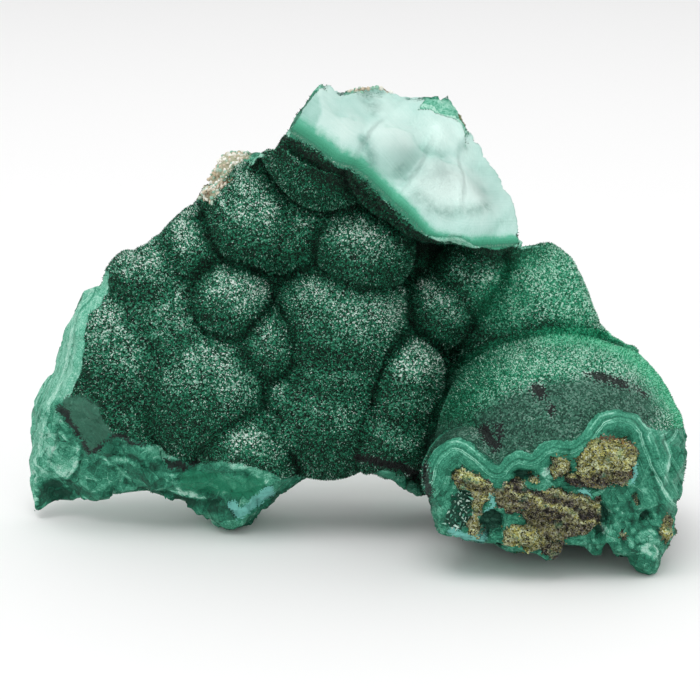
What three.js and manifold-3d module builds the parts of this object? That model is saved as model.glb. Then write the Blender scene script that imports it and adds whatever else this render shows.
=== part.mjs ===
// A hand specimen of velvet malachite, standing on its own broken edges.
//
// Malachite grows outwards from rock in round columns, layer over layer, so its free surface is a wall of
// domes. This stone is a broken piece of such a wall: domes in front, one large ball at the lower right,
// a lip that leans out at the top, and rough rock behind. Each dome is drawn as a sphere, the breaks are
// rough planes that cut the spheres, and the layers laid open in a break are smaller domes inside it.
//
// Millimetres. X runs to the right along the wall of domes, Y runs back into the rock, Z is up.

import * as THREE from "three";
import { ImprovedNoise } from "three/addons/math/ImprovedNoise.js";
import { mergeVertices } from "three/addons/utils/BufferGeometryUtils.js";
import Module from "manifold-3d";

const wasm = await Module();
wasm.setup();

// Driving dimensions

const DOME_FACETS = { least: 0.25, radiusForOneMore: 4 }; // how finely a dome is divided
const DOME_TILT = 0.4; // keeps the corners of neighbouring domes out of line, in radians
const COLUMN = { wall: 1.8, lip: 1.5, bud: 1.2 }; // radii that a column reaches behind its dome's middle
const ROCK_FACET = 8; // length of a triangle's side on rough rock

// The rim is drawn square on to a line of sight that looks down on the stone, from the middle of its height.
const RIM = { lean: 14, height: 39, sight: 390, front: 46, back: -40, step: 17, rough: 0.7, grain: 6 };

// Rim of the stone, clockwise from its lower left tip: millimetres across and up from the middle.
const LEFT_BREAK = [
  [-65, -31], [-65, -26], [-64.5, -19], [-64, -11], [-62, -7], [-60, -4], [-58.5, 1], [-56, 7],
  [-54, 12], [-50, 13.5],
];
const UPPER_LEFT_EDGE = [
  [-49, 16.5], [-46.5, 20], [-40.5, 21.5], [-34.5, 27], [-30.5, 30.5], [-27, 32.5], [-20, 37.5], [-14.5, 41],
];
const LIP_TOP = [
  [-13, 44], [-12, 46.5], [-10, 49], [-7, 53], [-5, 53.5], [-2, 52], [1, 52.5], [7, 52.5], [9, 52],
  [14, 50.5], [19.5, 51], [21, 49.5],
];
const LIP_END = [[22.5, 46.5], [24.3, 43], [28.8, 36], [31.3, 32], [32.3, 27.5], [34, 21.5]];
const SHOULDER = [[40.5, 21], [43.5, 18], [45.5, 15], [47.5, 10], [50, 4.5]];
const ROUND_THE_BALL = [[53, 2.5], [57, 1], [60, -1.5], [76, -9], [76, -60], [14, -60]];
const ARCH = [[14, -30], [9.5, -26], [7, -25], [4, -24], [-3, -25], [-9, -25], [-12, -27.5], [-15, -29.5]];
const LEFT_FOOT = [[-17, -32], [-20, -35.5], [-23, -36], [-26, -35.5], [-29, -33], [-31, -31]];
const LOWER_LEFT_EDGE = [
  [-34, -29.5], [-37, -29.5], [-40, -28], [-48, -28], [-51, -29], [-60, -30.5], [-63, -31.5],
];

// Velvet domes: middle of each sphere and its radius.
const DOMES = [
  { name: "upper middle", at: [2.5, 3.5, 59.5], r: 10.5 },
  { name: "upper left", at: [-19.5, 7, 64], r: 10.5 },
  { name: "beside the upper left", at: [-10, 8.5, 62], r: 10.5 },
  { name: "left of the middle", at: [-24.5, 3, 48], r: 8.8 },
  { name: "small middle", at: [-16, 3, 39.5], r: 8.5 },
  { name: "great middle", at: [-1.5, 7, 43.5], r: 15 },
  { name: "under the great middle", at: [-2.5, 8, 35.5], r: 15 },
  { name: "lower middle", at: [-5, 8, 25.5], r: 15.5 },
  { name: "right of the middle", at: [11.5, 0.5, 34.5], r: 7.4 },
  { name: "under the right", at: [10.5, 1.5, 29], r: 8.5 },
  { name: "lower right", at: [8, 3, 21.5], r: 10.2 },
  { name: "far left", at: [-46, 14, 36.5], r: 20 },
  { name: "left edge", at: [-48, 14.5, 29], r: 19.5 },
  { name: "lower left", at: [-49, 15, 22], r: 19 },
  { name: "broad left", at: [-29.5, 12.5, 31], r: 20 },
  { name: "left saddle", at: [-37, 13, 42], r: 17.5 },
  { name: "left shoulder", at: [-41, 8.5, 52.5], r: 11 },
  { name: "beside the left shoulder", at: [-32, 9.5, 57], r: 10 },
  { name: "above the foot", at: [-20.5, 3, 18], r: 11.3 },
  { name: "small inner", at: [-12.5, -0.5, 29.5], r: 5 },
  { name: "small lower", at: [-13.5, 0, 23.5], r: 6 },
  { name: "left of the shelf", at: [18, 6.5, 45.5], r: 8 },
  { name: "on the shelf", at: [24.8, 9.8, 50.8], r: 9.4 },
  { name: "deep under the lip", at: [14.5, 16, 52.5], r: 8 },
  { name: "right slope", at: [40, 15, 39.5], r: 20.5 },
];
const BALL = { at: [41.7, -4, 18.6], r: 25.3 };
const BUDS = [
  { name: "left bud", at: [22.5, -22, 20], r: 9 },
  { name: "lower left bud", at: [23.5, -21, 13.5], r: 8.5 },
  { name: "small bud", at: [32, -22.5, 21.5], r: 6.5 },
  { name: "middle bud", at: [39.5, -22, 22], r: 8.3 },
  { name: "right bud", at: [50, -22, 22.5], r: 11 },
  { name: "lower middle bud", at: [37, -21, 12.5], r: 9.5 },
  { name: "lower right bud", at: [53, -20, 13.5], r: 10 },
];
const LIP = [
  { name: "lip corner", at: [-3, 4, 80.5], r: 14.5 },
  { name: "under the lip", at: [10.5, -5.5, 78.5], r: 12 },
  { name: "lip middle", at: [17.5, -8, 75.5], r: 13 },
  { name: "lip end", at: [27, -8, 75], r: 14 },
];

// The rock behind the domes, as rough blocks and lumps: middle, full size.
const BLOCKS = [
  { name: "wall", at: [-29, 17, 40], size: [82, 28, 80], rough: 1 },
  { name: "lip", at: [8, 16, 80], size: [60, 26, 28], rough: 1 },
  { name: "top of the lip", at: [9.5, 8, 86.5], size: [42, 26, 20], rough: 1 },
  { name: "between the buds", at: [38, -20, 14.5], size: [34, 18, 14], rough: 1 },
];
const ROCK = [
  { name: "beside the arch", at: [15, 17, 24], size: [30, 24, 42], rough: 1.5 },
  { name: "behind the ball", at: [38, 14, 22], size: [48, 28, 44], rough: 1.5 },
  { name: "behind the slope", at: [30, 18, 46], size: [42, 24, 38], rough: 1.5 },
  { name: "behind the notch", at: [22, 18, 62], size: [34, 20, 30], rough: 1.5 },
  { name: "behind the lip", at: [5, 12, 69.5], size: [24, 22, 20], rough: 1.5 },
  { name: "behind the middle", at: [12, 19, 40], size: [24, 26, 76], rough: 1.5 },
];

// Breaks: a point on each, the way it faces as a turn about Z from the front and a rise, its size.
const COARSE = { rough: 2.2, grain: 14 };
const BACK_BREAKS = [
  { name: "back, left", at: [-38, 22, 40], turn: 193, rise: 8, size: [150, 140, 40], ...COARSE },
  { name: "back, middle", at: [0, 25, 45], turn: 178, rise: -3, size: [160, 140, 40], ...COARSE },
  { name: "back, right", at: [42, 25, 30], turn: 166, rise: 2, size: [150, 140, 40], ...COARSE },
  { name: "back, low", at: [-10, 22, 13], turn: 183, rise: -38, size: [120, 60, 20], rough: 1.5 },
  { name: "behind the left end", at: [-58, 23, 40], turn: 215, rise: 0, size: [90, 130, 40], rough: 1.6 },
  { name: "behind the top", at: [10, 20, 83], turn: 176, rise: 48, size: [120, 60, 40], rough: 1.6 },
  { name: "under the left", at: [-44, 14, 4], turn: 180, rise: -84, size: [60, 60, 20] },
  { name: "under the ball", at: [38, 0, 2.2], turn: 0, rise: -90, size: [60, 62, 20] },
];
const LEFT_END = { at: [-60, 5, 27], turn: -72, rise: 10, size: [60, 120, 30], rough: 0.7, grain: 7 };
const LOWER_LEFT = { at: [-43, -2.8, 19.1], turn: -22, rise: -21, size: [58, 30, 20], rough: 1.4, grain: 6 };
const FOOT_BREAK = { at: [-26, -4.6, 16.2], turn: -13, rise: -30, size: [26, 24, 20], rough: 1.4, grain: 6 };
const LIP_FACE = { at: [17.5, -15, 65], turn: 17, rise: 41, size: [90, 80, 40], rough: 0.4, grain: 9 };
const BALL_FRONT = { at: [42, -27.5, 16], turn: 0, rise: -3, size: [70, 50, 20], rough: 0.7, grain: 6 };

// Soft swellings of the layers inside the lip, on its broken face: middle, radius, height. Each is the cap of
// a flat ellipsoid, which SWELLING gives in radii across and in heights through.
const SWELLING = { wide: 1.2, thick: 3, sunk: 2, detail: 3 };
const SWELLINGS = [
  { name: "left swelling", at: [-2, -3.5, 84], r: 9, high: 1.4 },
  { name: "middle swelling", at: [9.5, -4, 80], r: 9, high: 2.2 },
  { name: "lower swelling", at: [22.5, -8, 71.5], r: 11, high: 2.8 },
  { name: "far swelling", at: [23, -1.2, 78.6], r: 8.5, high: 1.2 },
  { name: "top swelling", at: [7, 2, 87.5], r: 7, high: 0.8 },
];

// Lumps of rock and malachite that stand out of the ball's broken front, over the rim or under the stone.
const LUMPS = [
  { name: "upper chunk", at: [48.6, -25, 24.2], size: [15.5, 9, 10.5] },
  { name: "lower chunk", at: [37, -24.5, 15.8], size: [22, 9, 9] },
  { name: "lime lump", at: [32.5, -23.5, 10], size: [10, 9.5, 9] },
  { name: "flange", at: [59.8, -15, 21.3], size: [11.5, 15, 14], rough: 1.5, grain: 5 },
  { name: "right root", at: [58, -17, 11], size: [11, 17, 19], rough: 1.5, grain: 5 },
  { name: "knot foot", at: [57, -21.5, 4], size: [6.5, 9, 9.5] },
  { name: "rock foot", at: [38.5, -21, 6.5], size: [9, 12, 9] },
  { name: "left ledge", at: [-35, 4, 13.5], size: [26, 14, 9], rough: 1.2, grain: 5 },
  { name: "left foot", at: [-24, 9, 6], size: [15, 24, 13] },
  { name: "back foot", at: [40, 18, 6], size: [22, 14, 16] },
  { name: "crest", at: [-20.5, 14, 71.5], size: [15, 10, 10], rough: 1.6, grain: 4 },
  { name: "top crest", at: [4, 10, 89], size: [11, 8, 4] },
];
const GROUND = { at: [0, 0, 0], turn: 0, rise: -90, size: [160, 90, 10], rough: 0 };

const STONE_COLOUR = 0x12654a;
const STONE_ROUGHNESS = 0.85;

// Geometry helpers

const noise = new ImprovedNoise();
const NOISE_SHIFT = { x: 3.3, y: 17.7, z: 41.9 }; // so that the three directions move apart
const FINER = { times: 2.1, share: 0.5 }; // a second, finer layer of noise
const MERGE_WITHIN = 1e-3;
const EDGE_OF_ICOSAHEDRON = 1.0515; // for a radius of 1

function merged(geometry) {
  geometry.deleteAttribute("normal");
  geometry.deleteAttribute("uv");
  return mergeVertices(geometry, MERGE_WITHIN);
}

function solidOf(geometry) {
  const { attributes, index } = merged(geometry);
  return new wasm.Manifold(new wasm.Mesh({
    numProp: 3,
    vertProperties: new Float32Array(attributes.position.array),
    triVerts: new Uint32Array(index.array),
  }));
}

// A named mesh of a solid, with the middle of its width and depth over the origin.
function meshOf(name, solid, material) {
  const { vertProperties, triVerts } = solid.getMesh();
  const geometry = new THREE.BufferGeometry();
  geometry.setAttribute("position", new THREE.BufferAttribute(vertProperties, 3));
  geometry.setIndex(new THREE.BufferAttribute(triVerts, 1));
  geometry.computeBoundingBox();
  const middle = geometry.boundingBox.getCenter(new THREE.Vector3());
  geometry.translate(-middle.x, -middle.y, 0);
  const mesh = new THREE.Mesh(geometry, material);
  mesh.name = name;
  return mesh;
}

// Moves every vertex by smooth noise, so that a flat or round face becomes a broken one.
function roughen(geometry, height, grain) {
  const rough = merged(geometry);
  const place = rough.attributes.position;
  const fine = grain / FINER.times;
  for (let i = 0; i < place.count; i++) {
    const [x, y, z] = [place.getX(i), place.getY(i), place.getZ(i)];
    const along = (shift) => height * (
      noise.noise(x / grain + shift, y / grain, z / grain)
      + FINER.share * noise.noise(x / fine, y / fine + shift, z / fine)
    );
    place.setXYZ(i, x + along(NOISE_SHIFT.x), y + along(NOISE_SHIFT.y), z + along(NOISE_SHIFT.z));
  }
  return rough;
}

// How often an icosahedron is divided for its triangles to have the size of those on rough rock.
const detailFor = (r) => Math.max(1, Math.round(EDGE_OF_ICOSAHEDRON * r / ROCK_FACET) - 1);

// A sphere whose rear half is drawn out into the column that it grew from.
function dome({ at, r }, column) {
  const detail = Math.round(DOME_FACETS.least + r / DOME_FACETS.radiusForOneMore);
  const geometry = new THREE.IcosahedronGeometry(r, detail);
  geometry.rotateX(DOME_TILT);
  const place = geometry.attributes.position;
  for (let i = 0; i < place.count; i++) {
    if (place.getY(i) > 0) place.setY(i, place.getY(i) * column);
  }
  return solidOf(geometry.translate(...at));
}

const joinAll = (solids) => solids.reduce((whole, solid) => whole.add(solid));

// The rim, drawn along the line of sight, so that its walls fall away behind the edge that shows.
function rim() {
  const outline = [
    ...LEFT_BREAK, ...UPPER_LEFT_EDGE, ...LIP_TOP, ...LIP_END, ...SHOULDER, ...ROUND_THE_BALL, ...ARCH,
    ...LEFT_FOOT, ...LOWER_LEFT_EDGE,
  ];
  const shape = new THREE.Shape(outline.map(([across, up]) => new THREE.Vector2(across, up)));
  const depth = RIM.front - RIM.back;
  const steps = Math.round(depth / RIM.step);
  const geometry = new THREE.ExtrudeGeometry(shape, { depth, steps, bevelEnabled: false });
  geometry.translate(0, 0, RIM.back);
  const place = geometry.attributes.position;
  for (let i = 0; i < place.count; i++) {
    const spread = 1 - place.getZ(i) / RIM.sight;
    place.setXY(i, place.getX(i) * spread, place.getY(i) * spread);
  }
  geometry.rotateX(THREE.MathUtils.degToRad(90 - RIM.lean));
  geometry.translate(0, 0, RIM.height);
  return solidOf(roughen(geometry, RIM.rough, RIM.grain));
}

// A rough ellipsoid of rock.
function lump({ at, size, rough = 1, grain = 8 }) {
  const longest = Math.max(...size) / 2;
  const geometry = new THREE.IcosahedronGeometry(1, detailFor(longest));
  geometry.scale(...size.map((side) => side / 2));
  geometry.translate(...at);
  return solidOf(roughen(geometry, rough, grain));
}

// A rough block of rock.
function block({ at, size, rough, grain = 12 }) {
  const parts = size.map((side) => Math.max(1, Math.round(side / ROCK_FACET)));
  const geometry = new THREE.BoxGeometry(...size, ...parts);
  geometry.translate(...at);
  return solidOf(roughen(geometry, rough, grain));
}

// Turns a shape whose outside is +Z to face the way that a break faces.
function turnTo(geometry, { turn, rise }) {
  geometry.rotateX(THREE.MathUtils.degToRad(90 - rise));
  geometry.rotateZ(THREE.MathUtils.degToRad(turn));
}

// What a break takes away: a block whose near face is the break, looking the way that is given.
function broken({ at, turn, rise, size, rough = 1, grain = 10 }) {
  const [wide, high, deep] = size;
  const [columns, rows] = [Math.round(wide / ROCK_FACET), Math.round(high / ROCK_FACET)];
  const geometry = new THREE.BoxGeometry(wide, high, deep, columns, rows, 1);
  geometry.translate(0, 0, deep / 2);
  turnTo(geometry, { turn, rise });
  geometry.translate(...at);
  return solidOf(roughen(geometry, rough, grain));
}

// A soft swelling on a break: the cap of a flat ellipsoid that stands out of it.
function swelling({ at, r, high }, face) {
  const geometry = new THREE.IcosahedronGeometry(1, SWELLING.detail);
  geometry.scale(SWELLING.wide * r, SWELLING.wide * r, SWELLING.thick * high);
  geometry.translate(0, 0, -SWELLING.sunk * high);
  turnTo(geometry, face);
  return solidOf(geometry.translate(...at));
}

// The stone: what grew and the rock behind it, then the breaks, then the lumps that stand out of them.
function stone() {
  const domes = joinAll([...DOMES, BALL].map((one) => dome(one, COLUMN.wall)));
  const lip = joinAll(LIP.map((one) => dome(one, COLUMN.lip)));
  const rock = joinAll([...BLOCKS.map(block), ...ROCK.map(lump)]);
  const lipFront = broken(LIP_FACE).subtract(joinAll(SWELLINGS.map((one) => swelling(one, LIP_FACE))));
  const buds = joinAll(BUDS.map((one) => dome(one, COLUMN.bud)));
  const front = domes.add(lip).add(rock).subtract(lipFront).add(buds).subtract(broken(BALL_FRONT));
  const breaks = [LEFT_END, LOWER_LEFT, FOOT_BREAK, ...BACK_BREAKS].map(broken);
  const whole = breaks.reduce((solid, one) => solid.subtract(one), front.intersect(rim()));
  return whole.add(joinAll(LUMPS.map(lump))).subtract(broken(GROUND));
}

const stoneMaterial = new THREE.MeshStandardMaterial({
  color: STONE_COLOUR, roughness: STONE_ROUGHNESS, metalness: 0,
});
const group = new THREE.Group();
group.add(meshOf("malachite_specimen", stone(), stoneMaterial));

export default group;
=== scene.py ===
# %% [markdown]
# # Velvet malachite
#
# Malachite grows out of rock in round columns, layer on layer. Where nothing stops it, each column ends in
# a dome, and the last layer on the dome is a fur of needles a few tenths of a millimetre long: velvet. This
# stone is a broken piece of such a crust. Its domes are velvet, its breaks show the layers as bands, and
# behind and below it still holds some of the rock that it grew on.
#
# The stone comes in as one coarse closed solid. The steps below make a fine skin over that solid, pull the
# skin onto true spheres where the stone grew and leave it rough where the stone broke, and then dress it.

import math
from itertools import product

import bmesh
import bpy
import numpy as np
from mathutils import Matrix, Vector
from mathutils.bvhtree import BVHTree


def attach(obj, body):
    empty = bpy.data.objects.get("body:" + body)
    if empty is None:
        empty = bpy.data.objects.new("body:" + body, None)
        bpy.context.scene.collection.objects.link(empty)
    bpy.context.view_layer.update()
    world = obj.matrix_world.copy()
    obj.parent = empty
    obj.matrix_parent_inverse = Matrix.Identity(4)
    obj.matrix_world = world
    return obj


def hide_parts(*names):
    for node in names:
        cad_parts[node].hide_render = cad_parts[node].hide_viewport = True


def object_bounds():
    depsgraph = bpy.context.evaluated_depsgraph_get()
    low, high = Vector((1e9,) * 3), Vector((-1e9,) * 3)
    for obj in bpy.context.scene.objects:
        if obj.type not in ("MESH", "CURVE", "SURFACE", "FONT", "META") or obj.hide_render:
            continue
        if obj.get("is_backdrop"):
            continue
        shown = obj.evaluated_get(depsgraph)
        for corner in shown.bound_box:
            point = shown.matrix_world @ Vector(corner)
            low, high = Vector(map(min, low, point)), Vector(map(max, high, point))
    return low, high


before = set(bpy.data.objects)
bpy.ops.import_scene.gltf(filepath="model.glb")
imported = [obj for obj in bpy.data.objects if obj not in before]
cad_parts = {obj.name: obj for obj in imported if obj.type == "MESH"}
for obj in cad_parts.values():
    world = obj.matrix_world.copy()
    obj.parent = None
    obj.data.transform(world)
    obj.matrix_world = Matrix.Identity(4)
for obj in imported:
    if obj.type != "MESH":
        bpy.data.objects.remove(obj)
cad_box = [list(corner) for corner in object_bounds()]
MM = 0.001
print("the solid is", [round((high - low) / MM, 1) for low, high in zip(*cad_box)], "mm wide, deep and high")

# %% [markdown]
# ## Looking at the stone
#
# A specimen is photographed with a long lens from a little above, on a white sheet that runs out of sight,
# under a light tent. The camera looks at the middle of the stone's height. The places of marks on the stone
# are given later as points of the picture, so the camera's numbers are kept as the picture's own: a square
# of 700 points, and the focal length counted in those points.

# %% Camera
PICTURE = 700
FOCAL = 1950
LOOK_AT = (-0.1, 1.3, 39)
DISTANCE = 390
ELEVATION = math.radians(14)
SENSOR = 36

towards_camera = np.array([0, -math.cos(ELEVATION), math.sin(ELEVATION)])
camera_at = np.array(LOOK_AT) + DISTANCE * towards_camera
camera_up = np.array([0, math.sin(ELEVATION), math.cos(ELEVATION)])

camera = bpy.data.objects.new("camera", bpy.data.cameras.new("camera"))
camera.data.sensor_width = SENSOR
camera.data.lens = SENSOR * FOCAL / PICTURE
camera.data.clip_start = 0.01
camera.location = Vector(camera_at * MM)
camera.rotation_euler = (math.pi / 2 - ELEVATION, 0, 0)
bpy.context.scene.collection.objects.link(camera)
bpy.context.scene.camera = camera


def line_of_sight(across, down):
    """The direction from the camera through a point of the picture."""
    sideways = np.array([1, 0, 0]) * (across - PICTURE / 2)
    return sideways + camera_up * (PICTURE / 2 - down) - FOCAL * towards_camera


print("the lens is", round(camera.data.lens, 1), "mm, seen from", [round(float(x)) for x in camera_at])

# %% [markdown]
# ## Floor and light
#
# The floor is one large pale sheet. A light tent is soft from every side, so the world itself gives light
# too. One wide lamp overhead gives the domes their bright crowns and the stone its shadow, and a weaker one
# stands in front.

# %% Floor, lamps and world
FLOOR_REACH = 4.0
FLOOR_COLOUR = (0.9, 0.9, 0.9, 1)
FLOOR_ROUGHNESS = 0.9
OVERHEAD = {"at": (-0.25, -0.55, 1.9), "size": 1.3, "power": 14}
FRONT_FILL = {"at": (0.5, -1.6, 0.8), "size": 1.2, "power": 3}
WORLD_STRENGTH = 0.86

bpy.ops.mesh.primitive_plane_add(size=2 * FLOOR_REACH)
floor = bpy.context.object
floor.name = "floor"
paper = bpy.data.materials.new("white paper")
paper.use_nodes = True
paper_shader = paper.node_tree.nodes["Principled BSDF"]
paper_shader.inputs["Base Color"].default_value = FLOOR_COLOUR
paper_shader.inputs["Roughness"].default_value = FLOOR_ROUGHNESS
floor.data.materials.append(paper)
floor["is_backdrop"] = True


def lamp(name, at, size, power):
    """A square soft lamp that faces the stone."""
    light = bpy.data.lights.new(name, "AREA")
    light.size = size
    light.energy = power
    holder = bpy.data.objects.new(name, light)
    holder.location = at
    aim = Vector(LOOK_AT) * MM - Vector(at)
    holder.rotation_euler = aim.to_track_quat("-Z", "Y").to_euler()
    bpy.context.scene.collection.objects.link(holder)


lamp("overhead", **OVERHEAD)
lamp("front fill", **FRONT_FILL)
world = bpy.data.worlds.new("tent")
bpy.context.scene.world = world
world.use_nodes = True
sky = world.node_tree.nodes["Background"]
sky.inputs["Color"].default_value = (1, 1, 1, 1)
sky.inputs["Strength"].default_value = WORLD_STRENGTH
bpy.context.scene.view_settings.view_transform = "Standard"

# %% [markdown]
# ## A fine skin
#
# The solid's faces are a few millimetres across. A skin that can hold the grain of a stone needs faces of
# about half a millimetre. The Remesh modifier in voxel mode lays such a skin over any closed solid, in
# faces of one size. The rough back needs fewer of them, and the Decimate modifier takes them out there, by
# the weights of a vertex group. The mesh is then read into arrays, in millimetres, and all that shapes it
# works on those.

# %% Remesh the solid
VOXEL = 0.56
KEPT_FACES = 0.72
BACK_FROM = (8, 13)
MERGE_WITHIN = 1e-7


def ramp(value, low, high):
    """0 below low, 1 above high, and a smooth way between. low may be the larger."""
    t = np.clip((value - low) / (high - low), 0, 1)
    return t * t * (3 - 2 * t)


def read_points(mesh):
    """A mesh's points in millimetres."""
    flat = np.empty(3 * len(mesh.vertices))
    mesh.vertices.foreach_get("co", flat)
    return flat.reshape(-1, 3) / MM


def write_points(mesh, places):
    """Puts a mesh's points where an array in millimetres says."""
    mesh.vertices.foreach_set("co", (places * MM).ravel())
    mesh.update()


def read_normals(mesh):
    """The outward direction at each point of a mesh."""
    flat = np.empty(3 * len(mesh.vertices))
    mesh.vertex_normals.foreach_get("vector", flat)
    return flat.reshape(-1, 3)


def show(name, mesh):
    """A mesh as an object of the scene."""
    piece = bpy.data.objects.new(name, mesh)
    bpy.context.scene.collection.objects.link(piece)
    return piece


def with_modifiers_done(piece):
    """The mesh that an object's modifiers give. The object itself goes."""
    mesh = bpy.data.meshes.new_from_object(piece.evaluated_get(bpy.context.evaluated_depsgraph_get()))
    bpy.data.objects.remove(piece)
    return mesh


def fine_skin(node):
    """A new mesh of small even faces over a CAD node, with fewer faces at the back."""
    joined = bmesh.new()
    joined.from_mesh(node.data)
    bmesh.ops.remove_doubles(joined, verts=joined.verts, dist=MERGE_WITHIN)
    mesh = bpy.data.meshes.new("coarse stone")
    joined.to_mesh(mesh)
    joined.free()
    coarse = show("coarse stone", mesh)
    remesh = coarse.modifiers.new("voxels", "REMESH")
    remesh.mode = "VOXEL"
    remesh.voxel_size = VOXEL * MM
    even = with_modifiers_done(coarse)
    at_the_back = ramp(read_points(even)[:, 1], *BACK_FROM)
    skin = show("even skin", even)
    group = skin.vertex_groups.new(name="back")
    for number in np.flatnonzero(at_the_back > 0):
        group.add([int(number)], float(at_the_back[number]), "REPLACE")
    fewer = skin.modifiers.new("fewer faces", "DECIMATE")
    fewer.ratio = KEPT_FACES
    fewer.vertex_group = "back"
    return with_modifiers_done(skin)


skin_mesh = fine_skin(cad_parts["malachite_specimen"])
points = read_points(skin_mesh)


def triangles(mesh):
    """How many triangles a mesh has."""
    mesh.calc_loop_triangles()
    return len(mesh.loop_triangles)


print("the skin has", triangles(skin_mesh), "triangles")

# %% [markdown]
# ## Noise for stone
#
# Two kinds of noise shape the stone. Smooth lumps are for what grew and for worn rock. Chips are for what
# broke: space is parted in cells, and the stone in each cell ends in a slanting plane of its own. Both come
# from a hash of whole numbers, so they're the same on every run.

# %% Lumps and chips
HASH = (73856093, 19349663, 83492791, 2654435761, 1274126177)


def hashed(cells, seed):
    """A number from 0 to 1 for each cell of a grid."""
    i, j, k = (cells[:, axis].astype(np.uint32) for axis in range(3))
    mixed = (i * np.uint32(HASH[0])) ^ (j * np.uint32(HASH[1])) ^ (k * np.uint32(HASH[2]))
    mixed ^= np.uint32((seed + 1) * HASH[3] % 2**32)
    for shift in (13, 16):
        mixed = (mixed ^ (mixed >> np.uint32(shift))) * np.uint32(HASH[4])
    return (mixed ^ (mixed >> np.uint32(15))) / 2**32


def lumps(places, size, seed):
    """Smooth noise from -1 to 1, with lumps of about the size given."""
    cell = np.floor(places / size)
    within = places / size - cell
    ease = within**2 * (3 - 2 * within)
    cell = cell.astype(np.int64)
    total = np.zeros(len(places))
    for corner in product((0, 1), repeat=3):
        share = np.prod(np.where(corner, ease, 1 - ease), axis=1)
        total += share * hashed(cell + corner, seed)
    return 2 * total - 1


def layered(places, size, seed, layers=3):
    """Lumps of ever smaller sizes on each other."""
    return sum(lumps(places, size / 2**n, seed + n) / 2**n for n in range(layers))


def chips(places, size, seed):
    """Relief of slanting planes, from about -1 to 1."""
    cell = np.floor(places / size).astype(np.int64)
    nearest = np.full(len(places), np.inf)
    height = np.zeros(len(places))
    for step in product((-1, 0, 1), repeat=3):
        other = cell + step
        jitter = np.stack([hashed(other, seed + axis) for axis in range(3)], axis=1)
        slant = np.stack([hashed(other, seed + 3 + axis) for axis in range(3)], axis=1) - 0.5
        away = places / size - other - jitter
        distance = (away**2).sum(axis=1)
        take = distance < nearest
        nearest[take] = distance[take]
        height[take] = 2 * (away[take] * slant[take]).sum(axis=1) + slant[take, 0]
    return height


sample = np.array([[1.5, 2.5, 3.5]])
print("noise:", lumps(sample, 2.0, 1).round(3), chips(sample, 2.0, 1).round(3))

# %% [markdown]
# ## Where the stone grew
#
# Each dome is a sphere with a column behind it, and the list below is the same as the solid's. For any
# point the nearest sphere says how deep in the malachite it lies, counted from the velvet inwards, and in
# which direction the needles there grew. Depth gives the bands their course, so a break through a dome
# shows rings, just as in the real stone. Domes are joined with a soft minimum, which rounds the valleys a
# little as velvet does.

# %% Domes
DRAWN_FROM = np.array([-0.091, 1.342, 0])
COLUMN = 1.8
LIP_COLUMN = 1.5
BUD_COLUMN = 1.2
FLATTEST = 0.1
CREASE_SHARP = (0.8, 1.3)
CREASE_WIDTH = 2.1
DOMES = [
    ("upper middle", (2.5, 3.5, 59.5), 10.5),
    ("upper left", (-19.5, 7, 64), 10.5),
    ("beside the upper left", (-10, 8.5, 62), 10.5),
    ("left of the middle", (-24.5, 3, 48), 8.8),
    ("small middle", (-16, 3, 39.5), 8.5),
    ("great middle", (-1.5, 7, 43.5), 15),
    ("under the great middle", (-2.5, 8, 35.5), 15),
    ("lower middle", (-5, 8, 25.5), 15.5),
    ("right of the middle", (11.5, 0.5, 34.5), 7.4),
    ("under the right", (10.5, 1.5, 29), 8.5),
    ("lower right", (8, 3, 21.5), 10.2),
    ("far left", (-46, 14, 36.5), 20),
    ("left edge", (-48, 14.5, 29), 19.5),
    ("lower left", (-49, 15, 22), 19),
    ("broad left", (-29.5, 12.5, 31), 20),
    ("left saddle", (-37, 13, 42), 17.5),
    ("left shoulder", (-41, 8.5, 52.5), 11),
    ("beside the left shoulder", (-32, 9.5, 57), 10),
    ("above the foot", (-20.5, 3, 18), 11.3),
    ("small inner", (-12.5, -0.5, 29.5), 5),
    ("small lower", (-13.5, 0, 23.5), 6),
    ("left of the shelf", (18, 6.5, 45.5), 8),
    ("on the shelf", (24.8, 9.8, 50.8), 9.4),
    ("deep under the lip", (14.5, 16, 52.5), 8),
    ("right slope", (40, 15, 39.5), 20.5),
    ("ball", (41.7, -4, 18.6), 25.3),
]
LIP = [
    ("lip corner", (-3, 4, 80.5), 14.5),
    ("under the lip", (10.5, -5.5, 78.5), 12),
    ("lip middle", (17.5, -8, 75.5), 13),
    ("lip end", (27, -8, 75), 14),
]
BUDS = [
    ("left bud", (22.5, -22, 20), 9),
    ("lower left bud", (23.5, -21, 13.5), 8.5),
    ("small bud", (32, -22.5, 21.5), 6.5),
    ("middle bud", (39.5, -22, 22), 8.3),
    ("right bud", (50, -22, 22.5), 11),
    ("lower middle bud", (37, -21, 12.5), 9.5),
    ("lower right bud", (53, -20, 13.5), 10),
]


def growth(places, domes, column, soften=0.5):
    """How far outside the nearest dome each place is, and the way its needles grew.

    The last two are the distance along the surface to the valley between two domes, and how sharp it is.
    """
    first, second = np.full((2, len(places)), np.inf)
    first_way, second_way, way = np.zeros((3, len(places), 3))
    total = np.zeros(len(places))
    for _, at, radius in domes:
        away = places - DRAWN_FROM - at
        away[:, 1] /= np.where(away[:, 1] > 0, column, 1)
        length = np.linalg.norm(away, axis=1)
        distance = length - radius
        outwards = away / length[:, None]
        nearest = distance < first
        next_best = ~nearest & (distance < second)
        second = np.where(nearest, first, np.where(next_best, distance, second))
        second_way[nearest] = first_way[nearest]
        second_way[next_best] = outwards[next_best]
        first = np.where(nearest, distance, first)
        first_way[nearest] = outwards[nearest]
        weight = np.exp(-distance / soften)
        total += weight
        way += weight[:, None] * outwards
    way /= np.linalg.norm(way, axis=1)[:, None]
    sharp = np.linalg.norm(first_way - second_way, axis=1)
    return -soften * np.log(total), way, (second - first) / np.maximum(sharp, FLATTEST), sharp


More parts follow.
